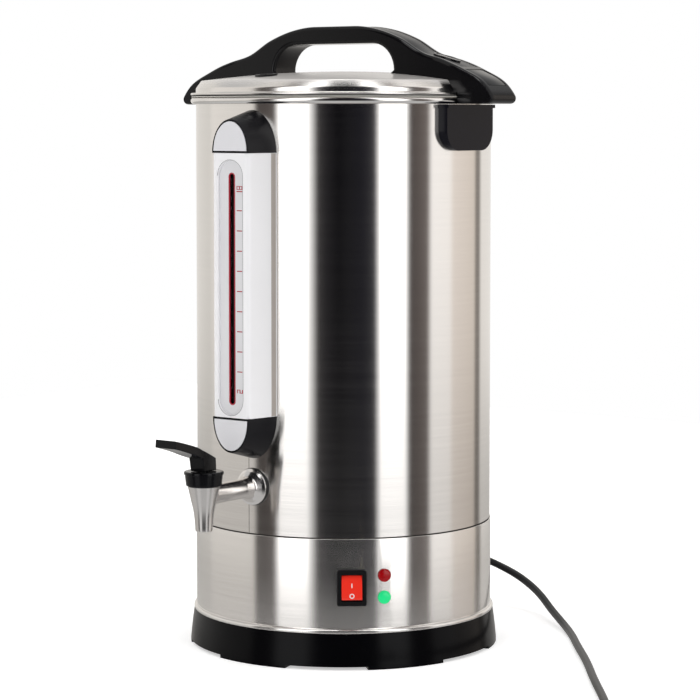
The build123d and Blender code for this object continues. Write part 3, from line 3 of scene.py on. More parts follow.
import bmesh
import bpy
import numpy as np
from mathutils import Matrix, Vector


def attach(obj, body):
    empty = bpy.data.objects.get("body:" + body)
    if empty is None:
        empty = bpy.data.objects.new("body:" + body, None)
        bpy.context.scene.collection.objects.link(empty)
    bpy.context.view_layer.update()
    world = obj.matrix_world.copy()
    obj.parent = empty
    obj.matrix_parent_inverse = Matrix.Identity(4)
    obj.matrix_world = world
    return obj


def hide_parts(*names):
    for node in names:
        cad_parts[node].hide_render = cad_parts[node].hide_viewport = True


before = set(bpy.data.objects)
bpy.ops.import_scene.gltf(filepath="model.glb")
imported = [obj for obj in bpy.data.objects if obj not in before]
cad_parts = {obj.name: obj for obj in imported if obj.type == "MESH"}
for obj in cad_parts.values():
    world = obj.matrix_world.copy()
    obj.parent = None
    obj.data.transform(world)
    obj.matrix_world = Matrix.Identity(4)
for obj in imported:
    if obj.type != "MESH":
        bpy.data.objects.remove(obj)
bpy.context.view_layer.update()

# A hot water urn with a lever tap. Shapes are worked out in millimetres and
# scaled to metres when they become meshes. Angles round the vessel count
# from the tap's side (-Y) towards +X.
mm = 0.001
print("urn: frame loaded with", len(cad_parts), "nodes")

# Where the camera stands: metres from the vessel's middle and over the floor, and angles in degrees
camera = {
    "azimuth": 36.3,
    "distance": 2.2804,
    "height": 0.4778,
    "pitch": 3.761,
    "yaw": -0.147,
    "lens": 129.51,
    "shift": -0.1,
}


def placeCamera():
    # The eye lies on a circle round the vessel, and looks back at its middle, turned by the yaw and the pitch
    data = bpy.data.cameras.new("studioCamera")
    data.lens = camera["lens"]
    data.sensor_width = 36.0
    data.shift_y = camera["shift"]
    data.clip_start, data.clip_end = 0.05, 50.0  # metres
    eye = bpy.data.objects.new("studioCamera", data)
    bpy.context.scene.collection.objects.link(eye)
    around = math.radians(camera["azimuth"])
    heading = math.radians(camera["azimuth"] + camera["yaw"])
    pitch = math.radians(camera["pitch"])
    reach = camera["distance"]
    eye.location = (reach * math.sin(around), -reach * math.cos(around), camera["height"])
    forward = Vector((
        -math.sin(heading) * math.cos(pitch),
        math.cos(heading) * math.cos(pitch),
        -math.sin(pitch),
    ))
    eye.rotation_mode = "QUATERNION"
    eye.rotation_quaternion = forward.to_track_quat("-Z", "Y")
    bpy.context.scene.camera = eye


placeCamera()
bpy.context.scene.view_settings.view_transform = "Standard"


def addNode(tree, kind, links=None, **settings):
    # One shader node, with plain values or other sockets on its inputs
    node = tree.nodes.new(kind)
    for key, value in settings.items():
        setattr(node, key, value)
    for key, value in (links or {}).items():
        socket = node.inputs[key]
        if isinstance(value, bpy.types.NodeSocket):
            tree.links.new(value, socket)
        else:
            socket.default_value = value
    return node


def calc(tree, operation, *values):
    # One step of arithmetic
    links = dict(enumerate(values))
    return addNode(tree, "ShaderNodeMath", links, operation=operation).outputs[0]


def ramp(tree, factor, stops):
    # A colour ramp through stops of (place, colour)
    node = addNode(tree, "ShaderNodeValToRGB", {"Fac": factor})
    colours = node.color_ramp
    while len(colours.elements) < len(stops):
        colours.elements.new(0.5)
    for element, (place, colour) in zip(colours.elements, stops):
        element.position = place
        element.color = (*colour, 1.0)
    return node.outputs["Color"]


def mixColour(tree, factor, first, second, blend="MIX"):
    # Two colours by a factor: the mix node keeps those for colours as its inputs 6 and 7
    node = addNode(tree, "ShaderNodeMix", data_type="RGBA", blend_type=blend, clamp_factor=True)
    for place, value in zip((0, 6, 7), (factor, first, second)):
        socket = node.inputs[place]
        if isinstance(value, bpy.types.NodeSocket):
            tree.links.new(value, socket)
        elif socket.type == "RGBA":
            socket.default_value = (*value, 1.0)
        else:
            socket.default_value = value
    return node.outputs[2]


def plainGrey(tree, level):
    # One value as a colour
    return addNode(tree, "ShaderNodeCombineColor", {0: level, 1: level, 2: level}).outputs[0]


def dimmed(tree, colour, level):
    # A colour times a level
    return mixColour(tree, 1.0, colour, plainGrey(tree, level), "MULTIPLY")


def between(tree, value, low, high):
    # A smooth rise from 0 to 1 as the value goes from low to high
    links = {"Value": value, "From Min": low, "From Max": high}
    return addNode(tree, "ShaderNodeMapRange", links, interpolation_type="SMOOTHSTEP").outputs[0]


def objectAxes(tree):
    # A point's own X, Y and Z in metres
    place = addNode(tree, "ShaderNodeTexCoord").outputs["Object"]
    return addNode(tree, "ShaderNodeSeparateXYZ", {0: place}).outputs


def newMaterial(name, **constants):
    # Constants are set on the shader's own sockets
    material = bpy.data.materials.new(name)
    material.use_nodes = True
    shader = material.node_tree.nodes["Principled BSDF"]
    for key, value in constants.items():
        shader.inputs[key.replace("_", " ")].default_value = value
    return material, material.node_tree, shader


def grey(level):
    # A screen level from 0 to 255 as linear light
    share = level / 255
    return share / 12.92 if share <= 0.04045 else ((share + 0.055) / 1.055) ** 2.4


def tone(*levels):
    # A colour by its three screen levels
    return tuple(grey(level) for level in levels)


# What stands round the vessel, by its direction from the camera's own: white
# boxes, black flags and the grey of the room. Each band is an angle in degrees
# and the level that steel shows there.
studio = {
    "bands": [
        (-180, (205, 202, 198)),
        (-128, (200, 198, 194)),
        (-122, (212, 209, 205)),
        (-74, (206, 203, 199)),
        (-70, (70, 66, 64)),
        (-55, (78, 72, 70)),
        (-51, (250, 250, 250)),
        (-27, (250, 250, 250)),
        (-20, (46, 44, 45)),
        (-13, (24, 23, 26)),
        (-4, (4, 4, 7)),
        (4, (18, 18, 21)),
        (14, (20, 20, 26)),
        (24, (34, 33, 38)),
        (28, (252, 252, 252)),
        (49, (252, 252, 252)),
        (52.5, (66, 60, 58)),
        (68, (101, 94, 91)),
        (72, (240, 238, 236)),
        (90, (236, 233, 230)),
        (95, (216, 208, 201)),
        (122, (202, 193, 184)),
        (126, (122, 117, 112)),
        (131, (122, 117, 112)),
        (136, (216, 213, 209)),
        (180, (205, 202, 198)),
    ],
    "gain": 1.35,
    "boxes": 1.0,  # added to the bands where they are as light as this, of 1
    "boxLevels": (0.9, 0.96),
    "overhead": 6.5,  # each part of the room has a level and the degrees of rise between which it comes in
    "overheadRise": (80.0, 86.0),
    "back": 0.6,
    "backRise": (24.0, 34.0),
    "backAngle": (80.0, 115.0),
    "low": 0.42,
    "lowRise": (-4.5, -9.0),
    "floorGlow": 0.55,
    "floorGlowRise": (-9.0, -40.0),
    "floorSide": 3.2,
    "floorEmission": 0.5,
}


def buildWorld():
    # The room's colour by direction: its band round the vessel, changed with the rise over the horizon
    world = bpy.data.worlds.new("studio")
    bpy.context.scene.world = world
    world.use_nodes = True
    tree = world.node_tree
    tree.nodes.clear()
    direction = addNode(tree, "ShaderNodeTexCoord").outputs["Generated"]
    axes = addNode(tree, "ShaderNodeSeparateXYZ", {0: direction}).outputs
    around = calc(tree, "ARCTAN2", axes["X"], calc(tree, "MULTIPLY", axes["Y"], -1.0))
    # From -180 to 180 degrees round the camera's azimuth, as 0 to 1
    fromCamera = calc(tree, "ADD", calc(tree, "DIVIDE", around, math.tau), 0.5 - camera["azimuth"] / 360)
    share = calc(tree, "FRACT", calc(tree, "ADD", fromCamera, 1.0))
    bands = ramp(tree, share, [((angle + 180) / 360, tone(*colour)) for angle, colour in studio["bands"]])
    rise = calc(tree, "MULTIPLY", calc(tree, "ARCSINE", axes["Z"]), 180 / math.pi)
    lit = mixColour(tree, 1.0, bands, (studio["gain"],) * 3, "MULTIPLY")
    # The boxes end a little under the horizon, where the room is dimmer
    low = between(tree, rise, *studio["lowRise"])
    lit = dimmed(tree, lit, calc(tree, "SUBTRACT", 1.0, calc(tree, "MULTIPLY", low, studio["low"])))
    # The white boxes are far brighter than what steel can show of them
    bright = addNode(tree, "ShaderNodeMapRange", {
        "Value": addNode(tree, "ShaderNodeSeparateColor", {0: bands}).outputs[0],
        "From Min": studio["boxLevels"][0],
        "From Max": studio["boxLevels"][1],
        "To Max": studio["boxes"],
    }).outputs[0]
    bright = calc(tree, "MULTIPLY", bright, calc(tree, "SUBTRACT", 1.0, low))
    lit = mixColour(tree, 1.0, lit, plainGrey(tree, bright), "ADD")
    # Behind the vessel the room is darker higher up
    away = calc(tree, "MULTIPLY", calc(tree, "ABSOLUTE", calc(tree, "SUBTRACT", share, 0.5)), 360.0)
    behind = calc(
        tree, "MULTIPLY", between(tree, rise, *studio["backRise"]), between(tree, away, *studio["backAngle"])
    )
    lit = mixColour(tree, behind, lit, (studio["back"],) * 3)
    for part in ("overhead", "floorGlow"):
        lit = mixColour(tree, between(tree, rise, *studio[part + "Rise"]), lit, (studio[part],) * 3)
    room = addNode(tree, "ShaderNodeBackground", {"Color": lit})
    plain = addNode(tree, "ShaderNodeBackground", {"Color": (1.0, 1.0, 1.0, 1.0)})
    path = addNode(tree, "ShaderNodeLightPath")
    mixed = addNode(tree, "ShaderNodeMixShader", {
        0: path.outputs["Is Camera Ray"], 1: room.outputs[0], 2: plain.outputs[0],
    })
    addNode(tree, "ShaderNodeOutputWorld", {"Surface": mixed.outputs[0]})


def buildFloor():
    # A white square that the vessel stands on, unseen in its reflections
    half = studio["floorSide"] / 2
    mesh = bpy.data.meshes.new("studioFloor")
    corners = [(-half, -half, 0), (half, -half, 0), (half, half, 0), (-half, half, 0)]
    mesh.from_pydata(corners, [], [(0, 1, 2, 3)])
    floor = bpy.data.objects.new("studioFloor", mesh)
    floor.visible_glossy = False
    bpy.context.scene.collection.objects.link(floor)
    material = newMaterial(
        "paleFloor", Base_Color=(0.9, 0.9, 0.9, 1.0), Roughness=1.0, Specular_IOR_Level=0.0,
        Emission_Color=(1.0, 1.0, 1.0, 1.0), Emission_Strength=studio["floorEmission"],
    )[0]
    mesh.materials.append(material)


buildWorld()
buildFloor()
print("urn: studio ready")


def newGroup(name, inputs):
    # An effect that several finishes share: named values in, and a colour, a roughness and a height out
    tree = bpy.data.node_groups.new(name, "ShaderNodeTree")
    for label, value in inputs.items():
        kind = "NodeSocketFloat" if isinstance(value, float) else "NodeSocketColor"
        socket = tree.interface.new_socket(label, in_out="INPUT", socket_type=kind)
        socket.default_value = value
    for label, kind in (("Colour", "Color"), ("Roughness", "Float"), ("Height", "Float")):
        tree.interface.new_socket(label, in_out="OUTPUT", socket_type="NodeSocket" + kind)
    return tree, addNode(tree, "NodeGroupInput").outputs


def closeGroup(tree, given, swing, swingTone, swingWear, height):
    # The swing, from below 0 to above it, lightens the colour by one share and roughens the gloss by another
    level = calc(tree, "ADD", 1.0, calc(tree, "MULTIPLY", swing, swingTone))
    tint = dimmed(tree, given["Colour"], level)
    rough = calc(tree, "ADD", given["Roughness"], calc(tree, "MULTIPLY", swing, swingWear))
    addNode(tree, "NodeGroupOutput", {"Colour": tint, "Roughness": rough, "Height": height})
    return tree


def brushedGroup():
    # Streaks that run round the vessel: noise that is stretched flat, in two sizes
    tree, given = newGroup("brushedStreaks", {
        "Colour": (0.8, 0.8, 0.8, 1.0),
        "Roughness": 0.25,
        "Along": 18.0,
        "Across": 2600.0,
        "Tone": 0.05,
        "Wear": 0.05,
    })
    axes = objectAxes(tree)
    stretched = addNode(tree, "ShaderNodeCombineXYZ", {
        0: calc(tree, "MULTIPLY", axes["X"], given["Along"]),
        1: calc(tree, "MULTIPLY", axes["Y"], given["Along"]),
        2: calc(tree, "MULTIPLY", axes["Z"], given["Across"]),
    }).outputs[0]
    fine = addNode(tree, "ShaderNodeTexNoise", {"Vector": stretched, "Scale": 1.0, "Detail": 3.0}).outputs[0]
    broad = addNode(tree, "ShaderNodeTexNoise", {"Vector": stretched, "Scale": 0.12, "Detail": 2.0}).outputs[0]
    streak = calc(tree, "ADD", calc(tree, "MULTIPLY", fine, 0.65), calc(tree, "MULTIPLY", broad, 0.35))
    swing = calc(tree, "MULTIPLY", calc(tree, "SUBTRACT", streak, 0.5), 2.0)
    return closeGroup(tree, given, swing, given["Tone"], given["Wear"], streak)


def mouldedGroup():
    # Fine pimples of moulded plastic with broad, faint unevenness of its gloss
    tree, given = newGroup("mouldedSkin", {
        "Colour": (0.03, 0.03, 0.03, 1.0),
        "Roughness": 0.3,
        "Grain": 1800.0,
        "Spread": 0.05,
    })
    place = addNode(tree, "ShaderNodeTexCoord").outputs["Object"]
    grain = addNode(tree, "ShaderNodeTexNoise", {"Vector": place, "Scale": given["Grain"], "Detail": 2.0}).outputs[0]
    cloud = addNode(tree, "ShaderNodeTexNoise", {"Vector": place, "Scale": 28.0, "Detail": 3.0}).outputs[0]
    return closeGroup(tree, given, calc(tree, "SUBTRACT", cloud, 0.5), 0.05, given["Spread"], grain)


streaks = brushedGroup()
skin = mouldedGroup()


def dressShader(tree, shader, effect, values, bump, depth):
    # Places a shared effect in a material with its own values, and feeds the shader from it
    group = addNode(tree, "ShaderNodeGroup", values, node_tree=effect)
    tree.links.new(group.outputs["Colour"], shader.inputs["Base Color"])
    tree.links.new(group.outputs["Roughness"], shader.inputs["Roughness"])
    links = {"Height": group.outputs["Height"], "Strength": bump, "Distance": depth}
    tree.links.new(addNode(tree, "ShaderNodeBump", links).outputs[0], shader.inputs["Normal"])
    return group.outputs["Colour"]


weldSeam = {
    "place": -0.0045,
    "halfWidth": 0.0003,
    "top": 0.2,
    "colour": (0.16, 0.15, 0.14),
}


def weldMask(tree):
    # A thin upright line behind the gauge and the tap, where the outer shell's sheet is joined
    axes = objectAxes(tree)
    across = calc(tree, "ABSOLUTE", calc(tree, "ADD", axes["X"], -weldSeam["place"]))
    low = calc(tree, "LESS_THAN", axes["Z"], weldSeam["top"])
    front = calc(tree, "LESS_THAN", axes["Y"], 0.0)
    near = calc(tree, "LESS_THAN", across, weldSeam["halfWidth"])
    return calc(tree, "MULTIPLY", near, calc(tree, "MULTIPLY", low, front))


def steel(name, colour, roughness, lay=0.8, toneSwing=0.05, wear=0.05, bump=0.15, welded=False):
    # Steel brushed round the vessel, so that its gloss spreads up and down
    material, tree, shader = newMaterial(name, Metallic=1.0, Anisotropic=lay, Anisotropic_Rotation=0.25)
    values = {"Colour": (*colour, 1.0), "Roughness": roughness, "Tone": toneSwing, "Wear": wear}
    shown = dressShader(tree, shader, streaks, values, bump, 0.02 * mm)
    if welded:
        tree.links.new(mixColour(tree, weldMask(tree), shown, weldSeam["colour"]), shader.inputs["Base Color"])
    tangent = addNode(tree, "ShaderNodeTangent", direction_type="RADIAL", axis="Z")
    tree.links.new(tangent.outputs[0], shader.inputs["Tangent"])
    return material


def hazeByHeight(name, roughness, lay, heights, shares, **surfaceLook):
    # Steel whose shine gives way to a pale haze between two heights
    material = steel(name, warmSteel, roughness, lay=lay, **surfaceLook)
    tree, shader = material.node_tree, material.node_tree.nodes["Principled BSDF"]
    clear = addNode(tree, "ShaderNodeMapRange", {
        "Value": objectAxes(tree)["Z"],
        "From Min": heights[0],
        "From Max": heights[1],
        "To Min": shares[0],
        "To Max": shares[1],
    }).outputs[0]
    tree.links.new(clear, shader.inputs["Metallic"])
    return material


def plastic(name, colour, roughness, grain=1800.0, bump=0.1, spread=0.05, coat=0.0, **constants):
    # Moulded plastic, rubber or glass-like resin
    material, tree, shader = newMaterial(name, Coat_Weight=coat, Coat_Roughness=0.06, **constants)
    values = {"Colour": (*colour, 1.0), "Roughness": roughness, "Grain": grain, "Spread": spread}
    dressShader(tree, shader, skin, values, bump, 0.05 * mm)
    return material


warmSteel = (0.80, 0.775, 0.75)
# The finish of each material slot: its colour, its roughness and what else sets it apart
finishes = {
    "shell_steel": steel("brushedShell", warmSteel, 0.15, toneSwing=0.1),
    "lid_steel": steel("brushedLid", warmSteel, 0.2, lay=0.6),
    "tank_steel": steel("polishedTank", (0.82, 0.80, 0.78), 0.16, lay=0.3, bump=0.05),
    "plate_steel": steel("platedSheet", (0.6, 0.6, 0.6), 0.35, lay=0.2),
    "fastener_steel": steel("zincScrews", (0.55, 0.55, 0.54), 0.3, lay=0.0),
    "tap_chrome": steel("polishedTap", (0.80, 0.775, 0.755), 0.19, lay=0.0, bump=0.05, toneSwing=0.03, wear=0.03),
    "heater_aluminium": steel("castAluminium", (0.7, 0.7, 0.7), 0.45, lay=0.0),
    "heater_sheath": steel("heaterSheath", (0.35, 0.33, 0.3), 0.5, lay=0.0),
    "contact_brass": steel("tinnedBrass", (0.72, 0.6, 0.35), 0.3, lay=0.0),
    "base_plastic": plastic("glossyBase", (0.0018, 0.0018, 0.0024), 0.18, Specular_IOR_Level=0.075),
    "thermostat_resin": plastic("darkResin", (0.05, 0.035, 0.03), 0.5),
    "block_nylon": plastic("paleNylon", (0.6, 0.58, 0.52), 0.5),
    "wire_silicone": plastic("wireSleeve", (0.5, 0.06, 0.05), 0.5),
    "bezel_black": plastic("switchBlack", (0.006, 0.006, 0.007), 0.3, Specular_IOR_Level=0.3),
    "lens_red": plastic("redLens", (0.3, 0.002, 0.004), 0.12, coat=0.1, Specular_IOR_Level=0.25),
    "lens_green": plastic("greenLens", (0.02, 0.78, 0.26), 0.12, coat=0.1, Specular_IOR_Level=0.25),
    "cover_silver": plastic("silverCover", (0.9, 0.9, 0.92), 0.28, spread=0.01, bump=0.02),
    "scale_white": plastic("whiteScale", (0.74, 0.74, 0.76), 0.4, Specular_IOR_Level=0.3),
    # The glass is coloured near black: painted shade of the dark space seen through the clear tube
    "gauge_glass": plastic("gaugeGlass", (0.004, 0.003, 0.003), 0.12, Specular_IOR_Level=0.15),
    "seal_silicone": plastic("paleSilicone", (0.62, 0.6, 0.56), 0.55),
    "cap_black": plastic("glossyCap", (0.005, 0.005, 0.007), 0.26, Specular_IOR_Level=0.2),
    "inlay_silver": plastic("silverInlay", (0.76, 0.76, 0.79), 0.35, Specular_IOR_Level=0.4),
    "gasket_black": plastic("tapRubber", (0.015, 0.015, 0.015), 0.5),
    "tap_black": plastic("glossyLever", (0.003, 0.003, 0.004), 0.14, Specular_IOR_Level=0.2),
    "bracket_black": plastic("satinBracket", (0.004, 0.004, 0.0075), 0.15, Specular_IOR_Level=0.13),
    "gland_black": plastic("glandBlack", (0.015, 0.015, 0.015), 0.45),
    "cord_black": plastic("cordBlack", (0.008, 0.008, 0.009), 0.35, grain=900.0, Specular_IOR_Level=0.3),
    "plug_black": plastic("plugBlack", (0.015, 0.015, 0.015), 0.35),
    "vent_black": plastic("ventBlack", (0.005, 0.005, 0.006), 0.4, Specular_IOR_Level=0.2),
    "handle_black": plastic("satinHandle", (0.003, 0.003, 0.004), 0.1, Specular_IOR_Level=0.24),
    "strip_black": plastic("texturedStrip", (0.008, 0.008, 0.009), 0.3, bump=0.2, Specular_IOR_Level=0.3),
    "rocker_red": plastic("rockerRed", (0.85, 0.03, 0.015), 0.25),
}
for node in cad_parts.values():
    for slotIndex, old in enumerate(node.data.materials):
        node.data.materials[slotIndex] = finishes[old.name.split(".")[0]]
print("urn: materials on", len(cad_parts), "nodes")


def gridFaces(rows, columns, closeRows, closeColumns):
    # The corners' numbers of each four neighbours on a grid, going round where it closes
    i = np.arange(rows if closeRows else rows - 1)[:, None]
    j = np.arange(columns if closeColumns else columns - 1)[None, :]
    nextRow, nextColumn = (i + 1) % rows, (j + 1) % columns
    corners = (i * columns + j, i * columns + nextColumn, nextRow * columns + nextColumn, nextRow * columns + j)
    return np.stack(np.broadcast_arrays(*corners), axis=-1).reshape(-1, 4)


def closedTube(points):
    # A grid of points whose rows are closed outlines, with a cap on its first and its last row
    rows, columns = points.shape[:2]
    outline = np.arange(columns)[None]
    faces = [gridFaces(rows, columns, False, True), outline[:, ::-1], outline + (rows - 1) * columns]
    return points.reshape(-1, 3), faces


def closedRing(points):
    # A grid of points that closes both ways
    rows, columns = points.shape[:2]
    return points.reshape(-1, 3), [gridFaces(rows, columns, True, True)]


def joinMesh(name, surfaces, weld=0.002):
    # Surfaces in millimetres become one closed mesh in metres; their faces come as arrays of corners' numbers
    places, faces, start = [], [], 0
    for points, blocks in surfaces:
        places.append(points)
        for block in blocks:
            faces += (block + start).tolist()
        start += len(points)
    mesh = bpy.data.meshes.new(name)
    mesh.from_pydata((np.concatenate(places) * mm).tolist(), [], faces)
    shaped = bmesh.new()
    shaped.from_mesh(mesh)
    bmesh.ops.remove_doubles(shaped, verts=shaped.verts, dist=weld * mm)
    bmesh.ops.dissolve_degenerate(shaped, dist=1e-7, edges=shaped.edges)
    shaped.to_mesh(mesh)
    shaped.free()
    return mesh


def readPoints(mesh):
    # A mesh's corners in millimetres
    flat = np.empty(len(mesh.vertices) * 3)
    mesh.vertices.foreach_get("co", flat)
    return flat.reshape(-1, 3) / mm


def evaluated(holder):
    # The mesh of an object after its modifiers, or of a curve
    bpy.context.view_layer.update()
    return bpy.data.meshes.new_from_object(holder.evaluated_get(bpy.context.evaluated_depsgraph_get()))


def carve(mesh, cutters):
    # Takes the cutters' solids out of the mesh
    body = bpy.data.objects.new("carved", mesh)
    tool = bpy.data.objects.new("cutter", joinMesh("cutter", cutters))
    for item in (body, tool):
        bpy.context.scene.collection.objects.link(item)
    cut = body.modifiers.new("cut", "BOOLEAN")
    cut.operation, cut.solver, cut.object = "DIFFERENCE", "EXACT", tool
    result = evaluated(body)
    bpy.data.objects.remove(body)
    bpy.data.objects.remove(tool)
    return result


def evenFlats(piece, keepSharp):
    # Large faces lead the shading of the rounds beside them
    even = piece.modifiers.new("evenFlats", "WEIGHTED_NORMAL")
    even.keep_sharp = keepSharp
    even.weight = 90


def makePiece(name, shape, finish, body, nodes=(), sharp=35.0, flats=False, cutters=None):
    # Smooths a shape, gives it its finish and lets it ride on its body
    mesh = shape if isinstance(shape, bpy.types.Mesh) else joinMesh(name, shape)
    if cutters:
        mesh = carve(mesh, cutters)
    mesh.name = name
    mesh.polygons.foreach_set("use_smooth", np.ones(len(mesh.polygons), bool))
    mesh.set_sharp_from_angle(angle=math.radians(sharp))
    mesh.materials.clear()
    mesh.materials.append(finishes[finish] if isinstance(finish, str) else finish)
    piece = bpy.data.objects.new(name, mesh)
    bpy.context.scene.collection.objects.link(piece)
    if flats:
        evenFlats(piece, True)
    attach(piece, body)
    if nodes:
        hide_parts(*nodes)
    return piece


def roundedLine(corners, closed=False, steps=6):
    # A line through corners (x, y, radius), with an arc of that radius in each corner
    spots = np.array([corner[:2] for corner in corners], float)
    parts = []
    for index, corner in enumerate(corners):
        here = spots[index]
        if corner[2] == 0 or (not closed and index in (0, len(corners) - 1)):
            parts.append(here[None])
            continue
        back, ahead = spots[index - 1] - here, spots[(index + 1) % len(spots)] - here
        back, ahead = back / np.linalg.norm(back), ahead / np.linalg.norm(ahead)
        half = 0.5 * math.acos(float(back @ ahead))
        sweep = math.pi - 2 * half
        middle = here + (back + ahead) / np.linalg.norm(back + ahead) * corner[2] / math.sin(half)
        first, last = (here + way * corner[2] / math.tan(half) - middle for way in (back, ahead))
        share = np.linspace(0, 1, steps + 1)[:, None]
        parts.append(middle + (np.sin((1 - share) * sweep) * first + np.sin(share * sweep) * last) / math.sin(sweep))
    return np.concatenate(parts)


def smoothCurve(points, startWay, endWay, steps=10):
    # A cubic through the points, whose heading at each is the blend of its two chords
    spots = np.array(points, float)
    chord = np.linalg.norm(np.diff(spots, axis=0), axis=1)[:, None]
    ahead = np.diff(spots, axis=0) / chord
    inner = (ahead[:-1] * chord[1:] + ahead[1:] * chord[:-1]) / (chord[:-1] + chord[1:])
    way = np.concatenate([[startWay], inner, [endWay]])
    way = way / np.linalg.norm(way, axis=1, keepdims=True)
    share = np.linspace(0, 1, steps, endpoint=False)[None, :, None]
    start, end = spots[:-1, None], spots[1:, None]
    leave, arrive = way[:-1, None] * chord[:, None], way[1:, None] * chord[:, None]
    curve = start * (2 * share**3 - 3 * share**2 + 1) + leave * (share**3 - 2 * share**2 + share)
    curve = curve + end * (3 * share**2 - 2 * share**3) + arrive * (share**3 - share**2)
    return np.concatenate([curve.reshape(-1, 2), spots[-1:]])


def outwards(outline):
    # Outward normals of a counterclockwise outline, lengthened in its corners so that an inset stays even
    ahead = np.roll(outline, -1, axis=0) - outline
    ahead = ahead / np.maximum(np.linalg.norm(ahead, axis=1, keepdims=True), 1e-9)
    after = np.stack([ahead[:, 1], -ahead[:, 0]], axis=-1)
    before = np.roll(after, 1, axis=0)
    return (after + before) / np.maximum(1 + (after * before).sum(axis=1, keepdims=True), 0.3)


def setOn(points, origin, first, second, third):
    # Carries points from a piece's own three directions to the vessel's
    return np.asarray(origin, float) + points @ np.array([first, second, third], float)


def wallFrame(angle, height, radius):
    # On the vessel's side: along its round, up, and outwards
    turn = math.radians(angle)
    along, out = (math.cos(turn), math.sin(turn), 0), (math.sin(turn), -math.cos(turn), 0)
    return (radius * out[0], radius * out[1], height), along, (0, 0, 1), out


def lathe(profile, axis=(0.0, 0.0), sides=256):
    # A profile of (radius, height), carried round a vertical axis
    angle = np.linspace(0, math.tau, sides, endpoint=False)
    radius, height = profile[:, :1], profile[:, 1:]
    return np.stack([
        axis[0] + radius * np.sin(angle),
        axis[1] - radius * np.cos(angle),
        np.broadcast_to(height, (len(profile), len(angle))),
    ], axis=-1)


def turned(profile, frameOfPiece, sides):
    # The same round an axis that points any way: heights run along the frame's third direction
    return setOn(lathe(profile, sides=sides), *frameOfPiece)


def boxOn(low, high, frameOfPiece, below, above):
    # A box on a plane, from one corner to the opposite one and between two heights over the plane
    corners = np.array([(low[0], low[1]), (high[0], low[1]), (high[0], high[1]), (low[0], high[1])])
    rows = [np.c_[corners, np.full(4, level)] for level in (below, above)]
    return closedTube(setOn(np.stack(rows), *frameOfPiece))


def smoothStep(value, low, high):
    # A smooth rise from 0 to 1 as the value goes from low to high
    share = np.clip((value - low) / (high - low), 0, 1)
    return share * share * (3 - 2 * share)


cord = {
    "diameter": 7.0,
    "exit": (0.0, 150.8, 59.0),
    "route": [
        (0, 172, 59), (9.5, 193.4, 52), (30.6, 207.2, 42), (54.3, 210.5, 32.5),
        (77.1, 203.1, 24), (96.8, 189.3, 18), (114, 175, 12), (133, 158.5, 7.8),
        (152, 141, 4.4), (173, 117, 3.5), (202, 78.5, 3.5), (241, 29, 3.5),
        (280, -25.5, 3.5), (321, -79.5, 3.5), (354, -125.5, 3.5),
    ],
    "coilCentre": (348.0, -191.0),
    "coilRadius": 43.575,
    "coilStep": 7.15,
    "turns": 4,
    "enter": 36.0,  # degrees where the coil is entered and left, as its clockwise turns begin and end
    "leave": -20.0,
    "inwards": ([0, 0.8, 1.2, 2.9, 3.3, 4.2], [0, 0, 1, 1, 0, 0]),  # steps by turns: in, and out again
    "upwards": ([0, 1.8, 2.3, 4.2], [0, 0, 1, 1]),
    "pointsInTurn": 16,
    "tail": 54.0,
    "tailShares": (0.28, 0.72),
    "plugHeight": 18.5,
    "groove": 0.17,
    "sides": 20,
}


def coilPoints():
    # Turns that run clockwise from above: an outer and an inner turn on the floor, then the same above them
    total = 360.0 * cord["turns"] + cord["enter"] - cord["leave"]
    count = round(total / 360 * cord["pointsInTurn"])
    swept = np.linspace(0.0, 1.0, count + 1) * total
    angle = np.radians(cord["enter"] - swept)
    reach = cord["coilRadius"] - np.interp(swept / 360, *cord["inwards"]) * cord["coilStep"]
    height = cord["diameter"] / 2 + np.interp(swept / 360, *cord["upwards"]) * cord["coilStep"]
    x, y = cord["coilCentre"]
    return np.stack([x + reach * np.cos(angle), y + reach * np.sin(angle), height], axis=-1)


def routePoints():
    # From the gland down to the floor, round the coil, and on to the plug
    coil = coilPoints()
    leave = math.radians(cord["leave"])
    way = np.array([math.sin(leave), -math.cos(leave), 0.0])
    last = coil[-1]
    bends = [last + way * share * cord["tail"] for share in cord["tailShares"]]
    bends[1][2] = cord["plugHeight"]
    end = last + way * cord["tail"]
    end[2] = cord["plugHeight"]
    return np.concatenate([[cord["exit"]], cord["route"], coil, bends, [end]])


def splineLine(name, points):
    # The smooth line of a cord: a spline with the route's points as its control points
    curve = bpy.data.curves.new(name, "CURVE")
    curve.dimensions = "3D"
    curve.resolution_u = 8
    spline = curve.splines.new("NURBS")
    spline.points.add(len(points) - 1)
    spline.points.foreach_set("co", np.c_[points * mm, np.ones(len(points))].ravel())
    spline.order_u = 3
    spline.use_endpoint_u = True
    holder = bpy.data.objects.new(name, curve)
    bpy.context.scene.collection.objects.link(holder)
    line = readPoints(evaluated(holder))
    bpy.data.objects.remove(holder)
    return line


def alongLine(line, section):
    # A section of (side, up) points is carried along the line: side is level, up is square to it
    ahead = np.gradient(line, axis=0)
    ahead /= np.linalg.norm(ahead, axis=1, keepdims=True)
    side = np.cross(ahead, (0.0, 0.0, 1.0))
    side /= np.linalg.norm(side, axis=1, keepdims=True)
    up = np.cross(side, ahead)
    return line[:, None] + side[:, None] * section[None, :, :1] + up[:, None] * section[None, :, 1:]


def buildCord():
    # A round section with a shallow groove on two sides is carried along the cord's line
    line = splineLine("cordLine", routePoints())
    around = np.linspace(0, math.tau, cord["sides"], endpoint=False)
    radius = cord["diameter"] / 2 * (1 - cord["groove"] * np.exp(-(np.cos(around) / 0.3) ** 2))
    section = np.stack([radius * np.cos(around), -radius * np.sin(around)], axis=-1)
    tube = closedTube(alongLine(line, section))
    piece = makePiece("powerCord", [tube], "cord_black", "urn", ["power_cord", "cord_coil"])
    length = np.linalg.norm(np.diff(line, axis=0), axis=1).sum()
    print("urn: cord", round(length), "mm in", len(line), "points")


buildCord()

